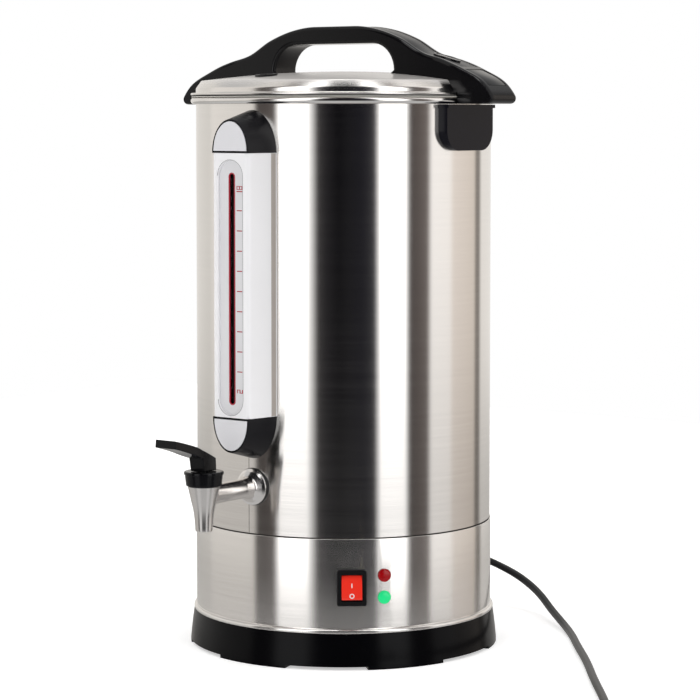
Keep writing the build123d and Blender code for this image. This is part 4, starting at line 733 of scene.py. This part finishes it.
# CAD shapes that only need their edges rounded: the bevel's width and segments, finish and body
dressed = {
    "gauge_cover": (0.5, 3, "cover_silver", "urn"),
    "gauge_top_cap": (1.4, 4, "cap_black", "urn"),
    "gauge_bottom_cap": (1.4, 4, "cap_black", "urn"),
    "gauge_top_inlay": (0.35, 3, "inlay_silver", "urn"),
    "gauge_bottom_inlay": (0.35, 3, "inlay_silver", "urn"),
    "right_bracket": (1.6, 4, "bracket_black", "urn"),
    "left_bracket": (1.6, 4, "bracket_black", "urn"),
    "switch_body": (0.6, 3, "bezel_black", "urn"),
    "switch_rocker": (0.5, 3, "rocker_red", "rocker"),
    "lid_vent": (0.4, 3, "vent_black", "lid"),
    "foot_base": (0.9, 3, "base_plastic", "urn"),
    "cord_gland": (0.5, 3, "gland_black", "urn"),
}


def copyNode(name):
    # The shape of a CAD node, with its split corners merged
    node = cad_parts[name]
    shaped = bmesh.new()
    shaped.from_mesh(node.data)
    shaped.transform(node.matrix_world)
    bmesh.ops.remove_doubles(shaped, verts=shaped.verts, dist=0.002 * mm)
    bmesh.ops.dissolve_limit(shaped, angle_limit=math.radians(0.5), verts=shaped.verts, edges=shaped.edges)
    mesh = bpy.data.meshes.new(name)
    shaped.to_mesh(mesh)
    shaped.free()
    return mesh


for name, (width, segments, finish, body) in dressed.items():
    pieceName = "".join(word.capitalize() for word in name.split("_"))
    piece = makePiece(pieceName[0].lower() + pieceName[1:], copyNode(name), finish, body, [name], sharp=40.0)
    soften = piece.modifiers.new("softEdges", "BEVEL")
    soften.width = width * mm
    soften.segments = segments
    soften.limit_method = "ANGLE"
    soften.angle_limit = math.radians(32)
    soften.use_clamp_overlap = True
    soften.harden_normals = False
    evenFlats(piece, False)
print("urn: dressed", len(dressed), "pieces")

lid = {
    "rim": 137.8,
    "radius": 133.2,
    "bottom": 494.0,
    "gap": 0.8,  # between the rim and the seat, where a dark ring paints the gap's shade
    "edge": 497.0,
    "shoulder": 500.6,
    "domeEdge": 127.6,
    "domeBottom": 507.8,
    "domeTop": 516.4,
    "wall": 0.7,
    "lip": 136.0,
    "vent": (-13.5, -95.9),
    "ventHole": (8.5, 500.0, 530.0),  # its radius, and from where to where it is cut
    # The dark ring of painted shade under the rim, from its inner to its outer radius
    "seal": (134.5, 136.7),
    "haze": ((0.5035, 0.5085), (1.0, 0.22)),  # metres up, and the shine there
}


def domeDrop(distance):
    # How far a sphere through the dome's top and its edge lies under its top, at a distance from the axis
    reach = lid["domeEdge"]
    rise = lid["domeTop"] - lid["domeBottom"]
    sphere = (reach**2 + rise**2) / (2 * rise)
    return sphere - np.sqrt(sphere**2 - np.asarray(distance, float) ** 2)


def buildLid():
    # The outer face's profile and the inner one's, carried round the vessel's axis and holed for the vent
    wall, rim, radius, shoulder = lid["wall"], lid["rim"], lid["radius"], lid["shoulder"]
    bottom, domeEdge = lid["bottom"] + lid["gap"], lid["domeEdge"]
    outer = roundedLine([
        (lid["lip"], bottom, 0),
        (rim, bottom, 1.0),
        (rim, lid["edge"], 1.1),
        (radius, lid["edge"], 0.8),
        (radius, shoulder + 0.4, 3.2),
        (domeEdge + 0.6, lid["domeBottom"] + 0.1, 2.2),
        (domeEdge - 9, lid["domeTop"] - float(domeDrop(domeEdge - 9)), 0),
    ], steps=8)
    distance = np.linspace(domeEdge - 10.5, 0.3, 40)
    dome = np.stack([distance, lid["domeTop"] - domeDrop(distance)], axis=-1)
    inner = np.array([
        (domeEdge - 1, lid["domeBottom"] - wall),
        (radius - wall, shoulder - wall / 2),
        (radius - wall, lid["bottom"]),
    ])
    body = closedRing(lathe(np.concatenate([outer, dome, dome[::-1] - (0, wall), inner])))
    hole, low, high = lid["ventHole"]
    cutter = closedTube(lathe(np.array([(hole, low), (hole, high)]), lid["vent"], 48))
    piece = makePiece("lidShell", [body], "lid_steel", "lid", ["lid_shell"], sharp=50.0, cutters=[cutter])
    # Under the rim a dark ring paints the shade in the gap between the lid and the vessel
    (back, front), low, high = lid["seal"], lid["bottom"] + 0.05, bottom + 0.1
    ring = closedRing(lathe(np.array([(back, low), (front, low), (front, high), (back, high)])))
    darkSeal = plastic("darkSeal", (0.006, 0.005, 0.005), 0.6, Specular_IOR_Level=0.1)
    makePiece("rimShade", [ring], darkSeal, "lid")
    # The dome is satin, while the rim and the shoulder under it shine
    piece.data.materials[0] = hazeByHeight("satinLid", 0.2, 0.6, *lid["haze"], bump=0.05, toneSwing=0.02)


buildLid()

handle = {
    "flat": 22.0,
    "top": [
        (22.0, 556.6), (44.0, 554.1), (72.0, 545.1), (97.0, 531.7),
        (118.0, 526.0), (140.0, 517.5), (164.0, 504.0), (174.0, 489.0),
    ],
    "bottom": 487.0,
    "halfWidth": 17.0,
    "wingHalf": 20.0,
    "wingFrom": 108.0,
    "wingFull": 132.0,
    "opening": (66.0, 541.0, 24.0),  # half its width, its roof and the round of its corners
    "round": 3.2,
    "toe": 4.8,
    "nose": (150.0, 166.0, 0.6),  # from where to where the edge loses this share of its round
    "clear": 0.15,
    "rimClear": 0.45,
    "strip": (136.0, 11.6),  # its end and half its width
    "panel": (141.0, 165.0, 14.6),
    "recess": [(0.0, 0.0), (0.12, 0.05), (0.25, 0.22), (0.35, 1.2)],  # a recess's edge, as (inwards, down)
    "inlay": (0.25, 1.15),  # an inlay's top and its bottom, both down
    "inlayGap": (0.3, 0.5),
    "pad": (99.0, 126.0, 7.4, 1.2),  # its two ends, half its width and how high it stands
    # Its rows from the foot to the middle, as (inwards, below its height)
    "padEdge": [(0.0, -2.8), (0.0, -0.3), (0.1, -0.1), (0.35, 0.0), (1.6, 0.0), (2.0, -0.3), (2.6, -0.3)],
}


def topLine():
    # The handle's top line from its middle outwards, with close pairs of points where an inlay ends
    curve = smoothCurve(handle["top"], (1.0, 0.0), (0.3, -1.0), steps=14)
    ends = np.array([handle["strip"][0], *handle["panel"][:2]])
    breaks = np.sort(np.concatenate([ends - 0.12, ends + 0.12]))
    heights = np.interp(breaks, curve[:, 0], curve[:, 1])
    spots = np.concatenate([curve, np.stack([breaks, heights], axis=-1)])
    spots = spots[np.argsort(spots[:, 0], kind="stable")]
    flat = np.stack([np.linspace(0, handle["flat"], 6)[:-1], np.full(5, handle["top"][0][1])], axis=-1)
    return np.concatenate([flat, spots])


def widen(points):
    # The wings are a little wider than the arch
    share = smoothStep(np.abs(points[..., 0]), handle["wingFrom"], handle["wingFull"])
    scale = 1 + share * (handle["wingHalf"] / handle["halfWidth"] - 1)
    return points * np.stack([np.ones_like(scale), scale, np.ones_like(scale)], axis=-1)


def underLine():
    # Where the handle lies on the lid, from the rim over the shoulder to the dome, and on round its opening
    openHalf, openTop, openRound = handle["opening"]
    clear, bottom = handle["clear"], handle["bottom"]
    rim, wall = lid["rim"] + handle["rimClear"], lid["radius"] + clear
    step = lid["edge"] + clear
    seat = np.array([(rim, bottom), (rim, step), (wall, step), (wall, lid["shoulder"] + 0.4 + clear)])
    reach = np.linspace(lid["domeEdge"], openHalf, 9)
    overDome = np.stack([reach, lid["domeTop"] - domeDrop(reach) + clear], axis=-1)
    corner = np.radians(np.linspace(0, 90, 11))
    around = np.stack([np.cos(corner), np.sin(corner)], axis=-1)
    arc = around * openRound + (openHalf - openRound, openTop - openRound)
    return np.concatenate([seat, overDome]), np.concatenate([arc, [(0.0, openTop)]])


def bothSides(half, flipped):
    # A row of the right half's values, and the left half's as its mirror, counterclockwise
    return np.concatenate([half, half[1:-1][::-1] * flipped])[::-1]


def buildHandle():
    # The handle's side view is an outline in (x, z). It is carried across the handle through rows that draw it in
    # at the rounded edges, and its top in at the recesses of the inlays
    upper = topLine()
    tip, bottom, toe = upper[-1], handle["bottom"], handle["toe"]
    hug, arch = underLine()
    upper = upper[upper[:, 1] > bottom + toe + 1.2]
    foot = roundedLine([(*upper[-1], 0), (tip[0], bottom, toe), (hug[0, 0], bottom, 0)])[1:-1]
    outline = bothSides(np.concatenate([upper, foot, hug, arch]), (-1, 1))
    counts = [len(upper), len(foot), len(hug), len(arch)]
    onTop = bothSides(np.repeat([1, 0, 0, 0], counts), 1).astype(bool)
    hugs = bothSides(np.repeat([0, 0, 1, 0], counts), 1).astype(bool)
    span = np.abs(outline[:, 0])
    start, end, panelHalf = handle["panel"]
    stripEnd, stripHalf = handle["strip"]
    inStrip, inPanel = onTop & (span < stripEnd), onTop & (span > start) & (span < end)
    edge, half = handle["round"], handle["halfWidth"]
    panelHalf = panelHalf * half / handle["wingHalf"]
    turn = np.linspace(0, math.pi / 2, 9)
    # A row has its place across, its inset, and how far down it lies in the strip's recess and in a panel's
    rows = [(half - edge * (1 - math.cos(t)), edge * (1 - math.sin(t)), 0.0, 0.0) for t in turn]
    rows += [(panelHalf - shift, 0.0, 0.0, dip) for shift, dip in handle["recess"]]
    deep = handle["recess"][-1][1]
    rows += [(stripHalf - shift, 0.0, dip, deep) for shift, dip in handle["recess"]]
    rows += [(-place, *depths) for place, *depths in rows[::-1]]
    place, inset, strip, panel = np.array(rows[::-1]).T
    # The edge is less round at the nose, and sharp where the handle meets the lid
    noseStart, noseEnd, noseShare = handle["nose"]
    keep = np.where(hugs, 0.0, 1.0 - noseShare * smoothStep(span, noseStart, noseEnd))
    drawn = inset[:, None] * keep + strip[:, None] * inStrip + panel[:, None] * inPanel
    flat = outline[None] - outwards(outline)[None] * drawn[..., None]
    points = np.concatenate([flat, np.broadcast_to(place[:, None, None], (*flat.shape[:2], 1))], axis=-1)
    points = widen(setOn(points, (0, 0, 0), (1, 0, 0), (0, 0, 1), (0, -1, 0)))
    # Where the handle meets the lid it follows the lid's round
    x, y = points[..., 0], points[..., 1]
    points[..., 0] = np.where(hugs[None, :], np.sign(x) * np.sqrt(np.maximum(x**2 - y**2, 0)), x)
    shape = [closedTube(points)]
    makePiece("lidHandle", shape, "handle_black", "lid", ["lid_handle"], sharp=38.0, flats=True)


def topBand(start, end, halfWidth):
    # A thin sheet that follows the handle's top line: its section is carried along the line, square to it
    line = topLine()
    line = np.concatenate([line[1:][::-1] * (-1, 1), line])
    inside = (line[:, 0] > start) & (line[:, 0] < end)
    places = np.concatenate([[start], line[inside, 0], [end]])
    line = np.stack([places, np.interp(places, line[:, 0], line[:, 1])], axis=-1)
    way = np.gradient(line, axis=0)
    way /= np.linalg.norm(way, axis=1, keepdims=True)
    up = np.stack([-way[:, 1], way[:, 0]], axis=-1)
    high, low = handle["inlay"]
    across, depth = roundedLine([
        (-halfWidth, -low, 0), (halfWidth, -low, 0), (halfWidth, -high, 0.3), (-halfWidth, -high, 0.3),
    ], closed=True, steps=3).T
    spots = line[:, None] + up[:, None] * depth[None, :, None]
    across = np.broadcast_to(across, spots.shape[:2])
    return closedTube(widen(np.stack([spots[..., 0], across, spots[..., 1]], axis=-1)))


def buildPad():
    # A low oval pad on the right wing: its outline lies on the handle's top line and is lifted square to it
    start, end, half, lift = handle["pad"]
    line = topLine()
    turn = np.linspace(0, math.tau, 48, endpoint=False)
    inset, height = np.array(handle["padEdge"]).T[..., None]
    height = height + lift
    span = (start + end) / 2 + ((end - start) / 2 - inset) * np.cos(turn)
    across = (half - inset) * np.sin(turn)
    level, before, after = (np.interp(span + shift, line[:, 0], line[:, 1]) for shift in (0.0, -0.5, 0.5))
    rise = after - before
    length = np.sqrt(1 + rise**2)
    points = np.stack([span - rise / length * height, across, level + height / length], axis=-1)
    makePiece("handlePad", [closedTube(points)], "handle_black", "lid", sharp=40.0)


def buildInlays():
    # Sheets in the recesses of the handle's top, a little smaller than these
    endGap, sideGap = handle["inlayGap"]
    stripEnd, stripHalf = handle["strip"]
    start, end, panelHalf = handle["panel"]
    strip = topBand(sideGap - stripEnd, stripEnd - sideGap, stripHalf - sideGap)
    makePiece("handleStrip", [strip], "strip_black", "lid", ["handle_strip"], sharp=50.0)
    panelHalf = (panelHalf - sideGap) * handle["halfWidth"] / handle["wingHalf"]
    points, faces = topBand(start + endGap, end - endGap, panelHalf)
    left = (points * (-1, 1, 1), [block[:, ::-1] for block in faces])
    makePiece("handlePanels", [(points, faces), left], "handle_black", "lid", ["handle_panels"], sharp=50.0)


buildHandle()
buildInlays()
buildPad()
print("urn: lid and handle ready")

# What the lower shell carries, by its angle and height, and the holes for it
controls = {
    "switch": (39.3, 70.9),
    "switchHole": (10.95, 14.15),  # half its width and half its height
    "lampAngle": 51.5,
    "lamps": {"red": 81.2, "green": 62.1},
    "lampHole": 5.05,
    "cordHole": (180.0, 59.0, 7.15),
    "reach": (-9.0, 7.0),  # how far the cutters go in and out
}
shells = {
    "outer": 133.0,
    "lower": 133.8,
    "wall": 0.6,
    "seam": 113.0,
    "groove": (0.8, 1.5),
    "top": 492.1,
    "lap": 107.0,
    "flange": 136.2,
    "flangeBottom": 31.0,
    "flangeTop": 34.5,
    "flareTop": 35.5,
    "inner": 113.0,
    "haze": ((0.034, 0.08), (0.82, 0.95)),  # metres up, and the shine there
}


def boreAt(angle, height, radius):
    # A cutter for a round hole in the lower shell
    rod = np.array([(radius, level) for level in controls["reach"]])
    return closedTube(turned(rod, wallFrame(angle, height, shells["lower"]), 40))


def buildOuterShell():
    # The outer shell is drawn in a little where it leaves the lower one, which leaves a shadow line
    wall, deep, tall = shells["wall"], *shells["groove"]
    outer, seam, top, lap = shells["outer"], shells["seam"], shells["top"], shells["lap"]
    profile = np.array([
        (outer, lap), (outer, seam - 0.5), (outer - deep, seam - 0.3), (outer - deep, seam + tall - 0.5),
        (outer, seam + tall - 0.3), (outer, top), (outer - wall, top), (outer - wall, lap),
    ])
    piece = makePiece("outerShell", [closedRing(lathe(profile))], "shell_steel", "urn", ["outer_shell"], sharp=25.0)
    piece.data.materials[0] = steel("weldedShell", warmSteel, 0.15, toneSwing=0.1, welded=True)


def buildLowerShell():
    # A profile of the wall and its flange, with a crease between them, carried round and holed for the controls
    wall, lower, seam, inner = shells["wall"], shells["lower"], shells["seam"], shells["inner"]
    flange, low, high, flare = (shells[key] for key in ("flange", "flangeBottom", "flangeTop", "flareTop"))
    profile = roundedLine([
        (inner, low, 0),
        (flange, low, 0.8),
        (flange, high, 1.7),
        (lower + 0.3, high + 0.1, 0),
        (lower - 0.4, high, 0),
        (lower - 0.4, flare - 0.2, 0),
        (lower, flare, 0),
        (lower, seam, 0.35),
        (lower - wall, seam, 0),
        (lower - wall, flare, 0.6),
        (flange - 1.6, high - 1.0, 0.6),
        (flange - 1.6, low + 0.8, 0),
        (inner, low + 0.8, 0),
    ])
    wide, tall = controls["switchHole"]
    holes = [boxOn((-wide, -tall), (wide, tall), wallFrame(*controls["switch"], lower), *controls["reach"])]
    holes += [boreAt(controls["lampAngle"], height, controls["lampHole"]) for height in controls["lamps"].values()]
    holes.append(boreAt(*controls["cordHole"]))
    body = [closedRing(lathe(profile))]
    piece = makePiece("lowerShell", body, "shell_steel", "urn", ["lower_shell"], sharp=25.0, cutters=holes)
    # The lower shell is a little hazier, most of all near the base
    piece.data.materials[0] = hazeByHeight("hazyShell", 0.17, 0.8, *shells["haze"], toneSwing=0.1)


def buildSeamLine():
    # A dark ring in the groove above the lower shell: painted shade of the groove
    back, front = shells["outer"] - shells["groove"][0] - 0.05, shells["outer"] - 0.15
    low, high = shells["seam"] - 0.2, shells["seam"] + 0.85
    line = np.array([(back, low), (front, low), (front, high), (back, high)])
    seamShade = plastic("seamShade", (0.03, 0.027, 0.025), 0.6, Specular_IOR_Level=0.1)
    makePiece("seamLine", [closedRing(lathe(line))], seamShade, "urn")


buildOuterShell()
buildLowerShell()
buildSeamLine()

gauge = {
    "plateFront": 161.05,
    "plateWall": 1.2,
    "slit": (3.25, 229.0, 428.0),  # half its width, its foot and its head
    "window": (13.75, 219.75, 439.25),
    "lineHalf": 0.2,
    "lineLevels": (-0.4, 0.07),
    "trim": 0.75,
    "ticks": 9,
    "firstTick": 395.9,
    "tickStep": 17.26,
    "tick": (5.4, 11.0, 0.85),
    "numbers": {"18": 414.0, "2": 241.4},
    "digit": (2.6, 5.4, 0.75),
    "digitStep": 1.35,
    "lift": 0.12,
    "flankBack": (25.0, -130.7),  # the cover's flank from above, beside the shell and at its front
    "flankFront": (19.7, -163.6),
    "strip": (5.4, 1.3, 218.4, 444.6),  # its width, its start along the flank, its foot and its head
}
# Strokes of the numbers' digits, from (left, low) to (right, high) in shares of a digit's size
strokes = {
    "1": [(0.6, 0.0, 0.75, 1.0)],
    "2": [(0, 1, 1, 1), (1, 0.5, 1, 1), (0, 0.5, 1, 0.5), (0, 0, 0, 0.5), (0, 0, 1, 0)],
    "8": [(0, 1, 1, 1), (0, 0.5, 1, 0.5), (0, 0, 1, 0), (0, 0, 0, 1), (1, 0, 1, 1)],
}


def stadium(halfWidth, low, high, steps=16):
    # A slot's outline in (x, z) with round ends
    turn = np.linspace(0, math.pi, steps + 1)
    end = np.stack([halfWidth * np.cos(turn), halfWidth * np.sin(turn)], axis=-1)
    return np.concatenate([end + (0, high - halfWidth), -end + (0, low + halfWidth)])


def buildSlitEdge(plate):
    # A red ring: two rounded outlines, one within the other, carried over the plate's face and down into the slit
    half, low, high = gauge["slit"]
    trim, lift = gauge["trim"], gauge["lift"]
    outer = stadium(half + 0.25, low - 0.25, high + 0.25)
    inner = stadium(half - trim, low + trim, high - trim)
    levels = [(outer, -0.3), (outer, lift), (inner, lift), (inner, -gauge["plateWall"] + 0.1)]
    ring = np.stack([np.c_[line, np.full(len(line), level)] for line, level in levels])
    makePiece("gaugeSlitEdge", [closedRing(setOn(ring, *plate))], markRed, "urn", sharp=30.0)


def buildWindowLine():
    # A fine dark line over the window's edge paints the shade of its rim: a small section carried from its foot up
    # one side and over its top
    rim = np.roll(stadium(*gauge["window"]), 17, axis=0)
    cover = -readPoints(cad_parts["gauge_cover"].data)[:, 1].min()
    away = np.stack([np.gradient(rim[:, 1]), -np.gradient(rim[:, 0])], axis=-1)
    away /= np.linalg.norm(away, axis=1, keepdims=True)
    half, (low, high) = gauge["lineHalf"], gauge["lineLevels"]
    section = np.array([(-half, low), (-half, high), (half, high), (half, low)])
    flat = rim[:, None] + away[:, None] * section[None, :, :1]
    out = -cover - np.broadcast_to(section[:, 1], flat.shape[:2])
    tube = closedTube(np.stack([flat[..., 0], out, flat[..., 1]], axis=-1))
    makePiece("windowLine", [tube], plastic("windowShade", (0.3, 0.3, 0.31), 0.5), "urn", sharp=30.0)


def buildMarks(plate):
    # Ticks and digits are low boxes on the plate
    start, end, thick = gauge["tick"]
    lift = gauge["lift"]
    heights = gauge["firstTick"] - np.arange(gauge["ticks"]) * gauge["tickStep"]
    marks = [boxOn((start, z - thick / 2), (end, z + thick / 2), plate, -0.2, lift) for z in heights]
    # The numbers stand a quarter turn round: a digit's width runs up the scale
    wide, tall, pen = gauge["digit"]
    step = wide * gauge["digitStep"]
    for number, height in gauge["numbers"].items():
        place = height - len(number) * step / 2
        for digit in number:
            for left, bottom, right, upper in strokes[digit]:
                grow = 0.006 * len(marks)  # keeps strokes that meet from sharing corners
                low = (end - upper * tall - pen / 2 - grow, place + left * wide - pen / 4 - grow)
                high = (end - bottom * tall + pen / 2 + grow, place + right * wide + pen / 4 + grow)
                marks.append(boxOn(low, high, plate, -0.2 - grow / 4, lift * 0.8 + grow / 4))
            place += step
    makePiece("gaugeMarks", marks, markRed, "urn", sharp=30.0)


def buildFootStrips():
    # Along the foot of the cover's flanks a darker strip paints the reflection of the steel beside it, a low box on
    # each flank
    back, front = np.array(gauge["flankBack"]), np.array(gauge["flankFront"])
    wide, gap, low, high = gauge["strip"]
    run = (front - back) / np.linalg.norm(front - back)
    strips = []
    for side in (1, -1):
        along, away = (side * run[0], run[1], 0), (side * -run[1], run[0], 0)
        start = (side * back[0] + along[0] * gap, back[1] + along[1] * gap, 0)
        if side < 0:
            strips.append(boxOn((0.0, low), (wide, high), (start, along, (0, 0, 1), away), -0.3, 0.12))
        else:
            strips.append(boxOn((low, 0.0), (high, wide), (start, (0, 0, 1), along, away), -0.3, 0.12))
    makePiece("gaugeFootStrips", strips, plastic("gaugeFoot", (0.42, 0.38, 0.35), 0.4), "urn", sharp=30.0)


markRed = plastic("scaleRed", (0.42, 0.008, 0.03), 0.45)
gaugePlate = ((0, -gauge["plateFront"], 0), (1, 0, 0), (0, 0, 1), (0, -1, 0))
buildSlitEdge(gaugePlate)
buildWindowLine()
buildMarks(gaugePlate)
buildFootStrips()

# Profiles of (radius, height), with the radius of each corner's rounding where there is a third number
tap = {
    "axis": (0.0, -200.0),
    "height": 155.0,
    "lip": [(5.4, 125.0, 0), (7.4, 125.0, 0.7), (7.55, 128.0, 0)],
    "spout": [
        (7.85, 133.0), (8.35, 138.5), (9.2, 143.7), (10.6, 149.5), (12.2, 156.5), (13.75, 163.4), (13.4, 164.0),
        (12.0, 164.0), (12.0, 172.5), (7.6, 172.5), (7.6, 146.0), (5.4, 143.8),
    ],
    "shank": [
        (8.0, 112.7, 0), (8.0, 134.2, 0.0), (15.9, 134.2, 0.3), (15.9, 135.6, 0.9), (13.4, 137.2, 2.0),
        (9.6, 141.6, 5.0), (8.5, 150.0, 4.0), (8.5, 190.5, 0), (5.0, 190.5, 0), (5.0, 112.7, 0),
    ],
    "gasket": [(8.05, 131.5, 0), (16.4, 131.5, 0), (16.4, 134.15, 0.5), (8.05, 134.15, 0)],
    "bonnet": [
        (12.05, 164.05, 0), (15.1, 164.05, 0.6), (15.4, 166.2, 1.0), (16.1, 172.6, 0.6), (16.1, 173.3, 0.2),
        (16.9, 173.7, 0.4), (16.9, 176.0, 0.7), (15.6, 176.4, 0.6), (2.55, 176.4, 0), (2.55, 173.0, 0),
        (12.05, 173.0, 0),
    ],
}


def buildTap():
    # The spout and the bonnet are profiles carried round the tap's upright axis. The shank with its flange, and
    # its gasket, go round the level axis that runs from the thread in the wall to the spout
    along = ((0, 0, tap["height"]), (1, 0, 0), (0, 0, 1), (0, -1, 0))
    upright = np.concatenate([roundedLine(tap["lip"], steps=5), tap["spout"]])
    body = closedRing(lathe(upright, tap["axis"], 96))
    shank = closedRing(turned(roundedLine(tap["shank"], steps=8), along, 96))
    makePiece("tapBody", [body, shank], "tap_chrome", "urn", ["tap_body"], sharp=30.0)
    gasket = closedRing(turned(roundedLine(tap["gasket"]), along, 96))
    makePiece("tapGasket", [gasket], "gasket_black", "urn", ["tap_gasket"], sharp=30.0)
    bonnet = closedRing(lathe(roundedLine(tap["bonnet"]), tap["axis"], 96))
    makePiece("tapBonnet", [bonnet], "tap_black", "urn", ["tap_bonnet"], sharp=30.0)


buildTap()

lever = {
    "upper": [
        (192.5, 187.3), (200.0, 191.2), (207.0, 194.5), (216.5, 198.2), (228.0, 201.8), (241.0, 205.4),
        (250.0, 207.6),
    ],
    "lower": [(250.6, 200.9), (241.0, 198.3), (232.0, 195.6), (223.5, 192.6), (216.5, 189.9), (210.4, 187.8)],
    "root": (208.8, 176.75),
    "rear": (191.9, 176.75),
    "hubHalf": 7.5,
    "paddleHalf": 11.0,
    "widens": (209.0, 12.6),  # from where, and over what length
    "round": 1.0,
    "slot": ((-2.8, -205.76), (2.8, -196.38), 170.0, 186.1),
}


def buildLever():
    # The side view, with the distance from the vessel's axis as its first direction, is carried across the lever
    # through rows that draw it in at the rounded edges
    upper = smoothCurve(lever["upper"], (0.8, 0.42), (1.0, 0.22), steps=6)
    lower = smoothCurve(lever["lower"], (-1.0, -0.24), (-1.0, -0.32), steps=6)
    outline = np.concatenate([upper, lower, [lever["root"], lever["rear"]]])[::-1]
    start, length = lever["widens"]
    share = np.clip((outline[:, 0] - start) / length, 0, 1)
    half = lever["hubHalf"] + (lever["paddleHalf"] - lever["hubHalf"]) * share
    normal, edge = outwards(outline), lever["round"]
    rows = []
    for turn in np.linspace(0, math.pi / 2, 5):
        inset, back = edge * (1 - math.sin(turn)), edge * (1 - math.cos(turn))
        rows.append(np.c_[outline - normal * inset, half - back])
    rows = rows + [row * (1, 1, -1) for row in rows[::-1]]
    points = setOn(np.stack(rows[::-1]), (0, 0, 0), (0, -1, 0), (0, 0, 1), (-1, 0, 0))
    # The valve's stem stands in a slot in the lever's foot
    low, high, below, above = lever["slot"]
    slot = boxOn(low, high, ((0, 0, 0), (1, 0, 0), (0, 1, 0), (0, 0, 1)), below, above)
    shape = [closedTube(points)]
    makePiece(
        "tapLever", shape, "tap_black", "tap_handle", ["tap_lever"], sharp=38.0, flats=True, cutters=[slot]
    )


# A lamp's lens as (radius, out of the shell, rounding)
lens = [
    (3.5, -4.0, 0), (3.5, 0.05, 0.0), (5.8, 0.05, 0.3), (5.8, 1.3, 0.7), (4.3, 2.1, 1.2), (2.0, 2.35, 1.5),
    (0.4, 2.4, 0),
]
signs = {
    "depth": 1.0,  # of the rocker's axis under the shell's face
    "tilt": 9.0,
    "levels": (4.0, 4.26),
    "bar": ((-0.4, -0.2), (0.4, 3.6)),
    "zero": (2.15, 1.35, -7.2),  # outer and inner radius, and its place down the rocker
}


def buildLamps():
    # A lens is a profile carried round an axis that points out of the shell
    profile = roundedLine(lens)
    for colour, height in controls["lamps"].items():
        lamp = closedTube(turned(profile, wallFrame(controls["lampAngle"], height, shells["lower"]), 48))
        makePiece(colour + "Lamp", [lamp], "lens_" + colour, "urn", [colour + "_lamp"], sharp=40.0)


def buildSigns():
    # On the rocker's face, which leans back: a stroke at its upper half and a ring at its lower
    origin, along, up, out = wallFrame(*controls["switch"], shells["lower"] - signs["depth"])
    tilt = math.radians(signs["tilt"])
    up, out = np.array(up), np.array(out)
    lean = up * math.cos(tilt) - out * math.sin(tilt)
    face = out * math.cos(tilt) + up * math.sin(tilt)
    plane = (origin, along, lean, face)
    low, high = signs["levels"]
    bar = boxOn(*signs["bar"], plane, low, high)
    turn = np.linspace(0, math.tau, 32, endpoint=False)
    circle = np.stack([np.cos(turn), np.sin(turn)], axis=-1)
    outer, inner, place = signs["zero"]
    rings = [(outer, low), (outer, high), (inner, high), (inner, low)]
    ring = np.stack([np.c_[circle * radius + (0, place), np.full(32, level)] for radius, level in rings])
    signWhite = plastic("signWhite", (0.8, 0.8, 0.8), 0.4)
    makePiece("rockerSigns", [bar, closedRing(setOn(ring, *plane))], signWhite, "rocker", sharp=30.0)


buildLamps()
buildSigns()
buildLever()
print("urn: shells, gauge, tap and controls ready")
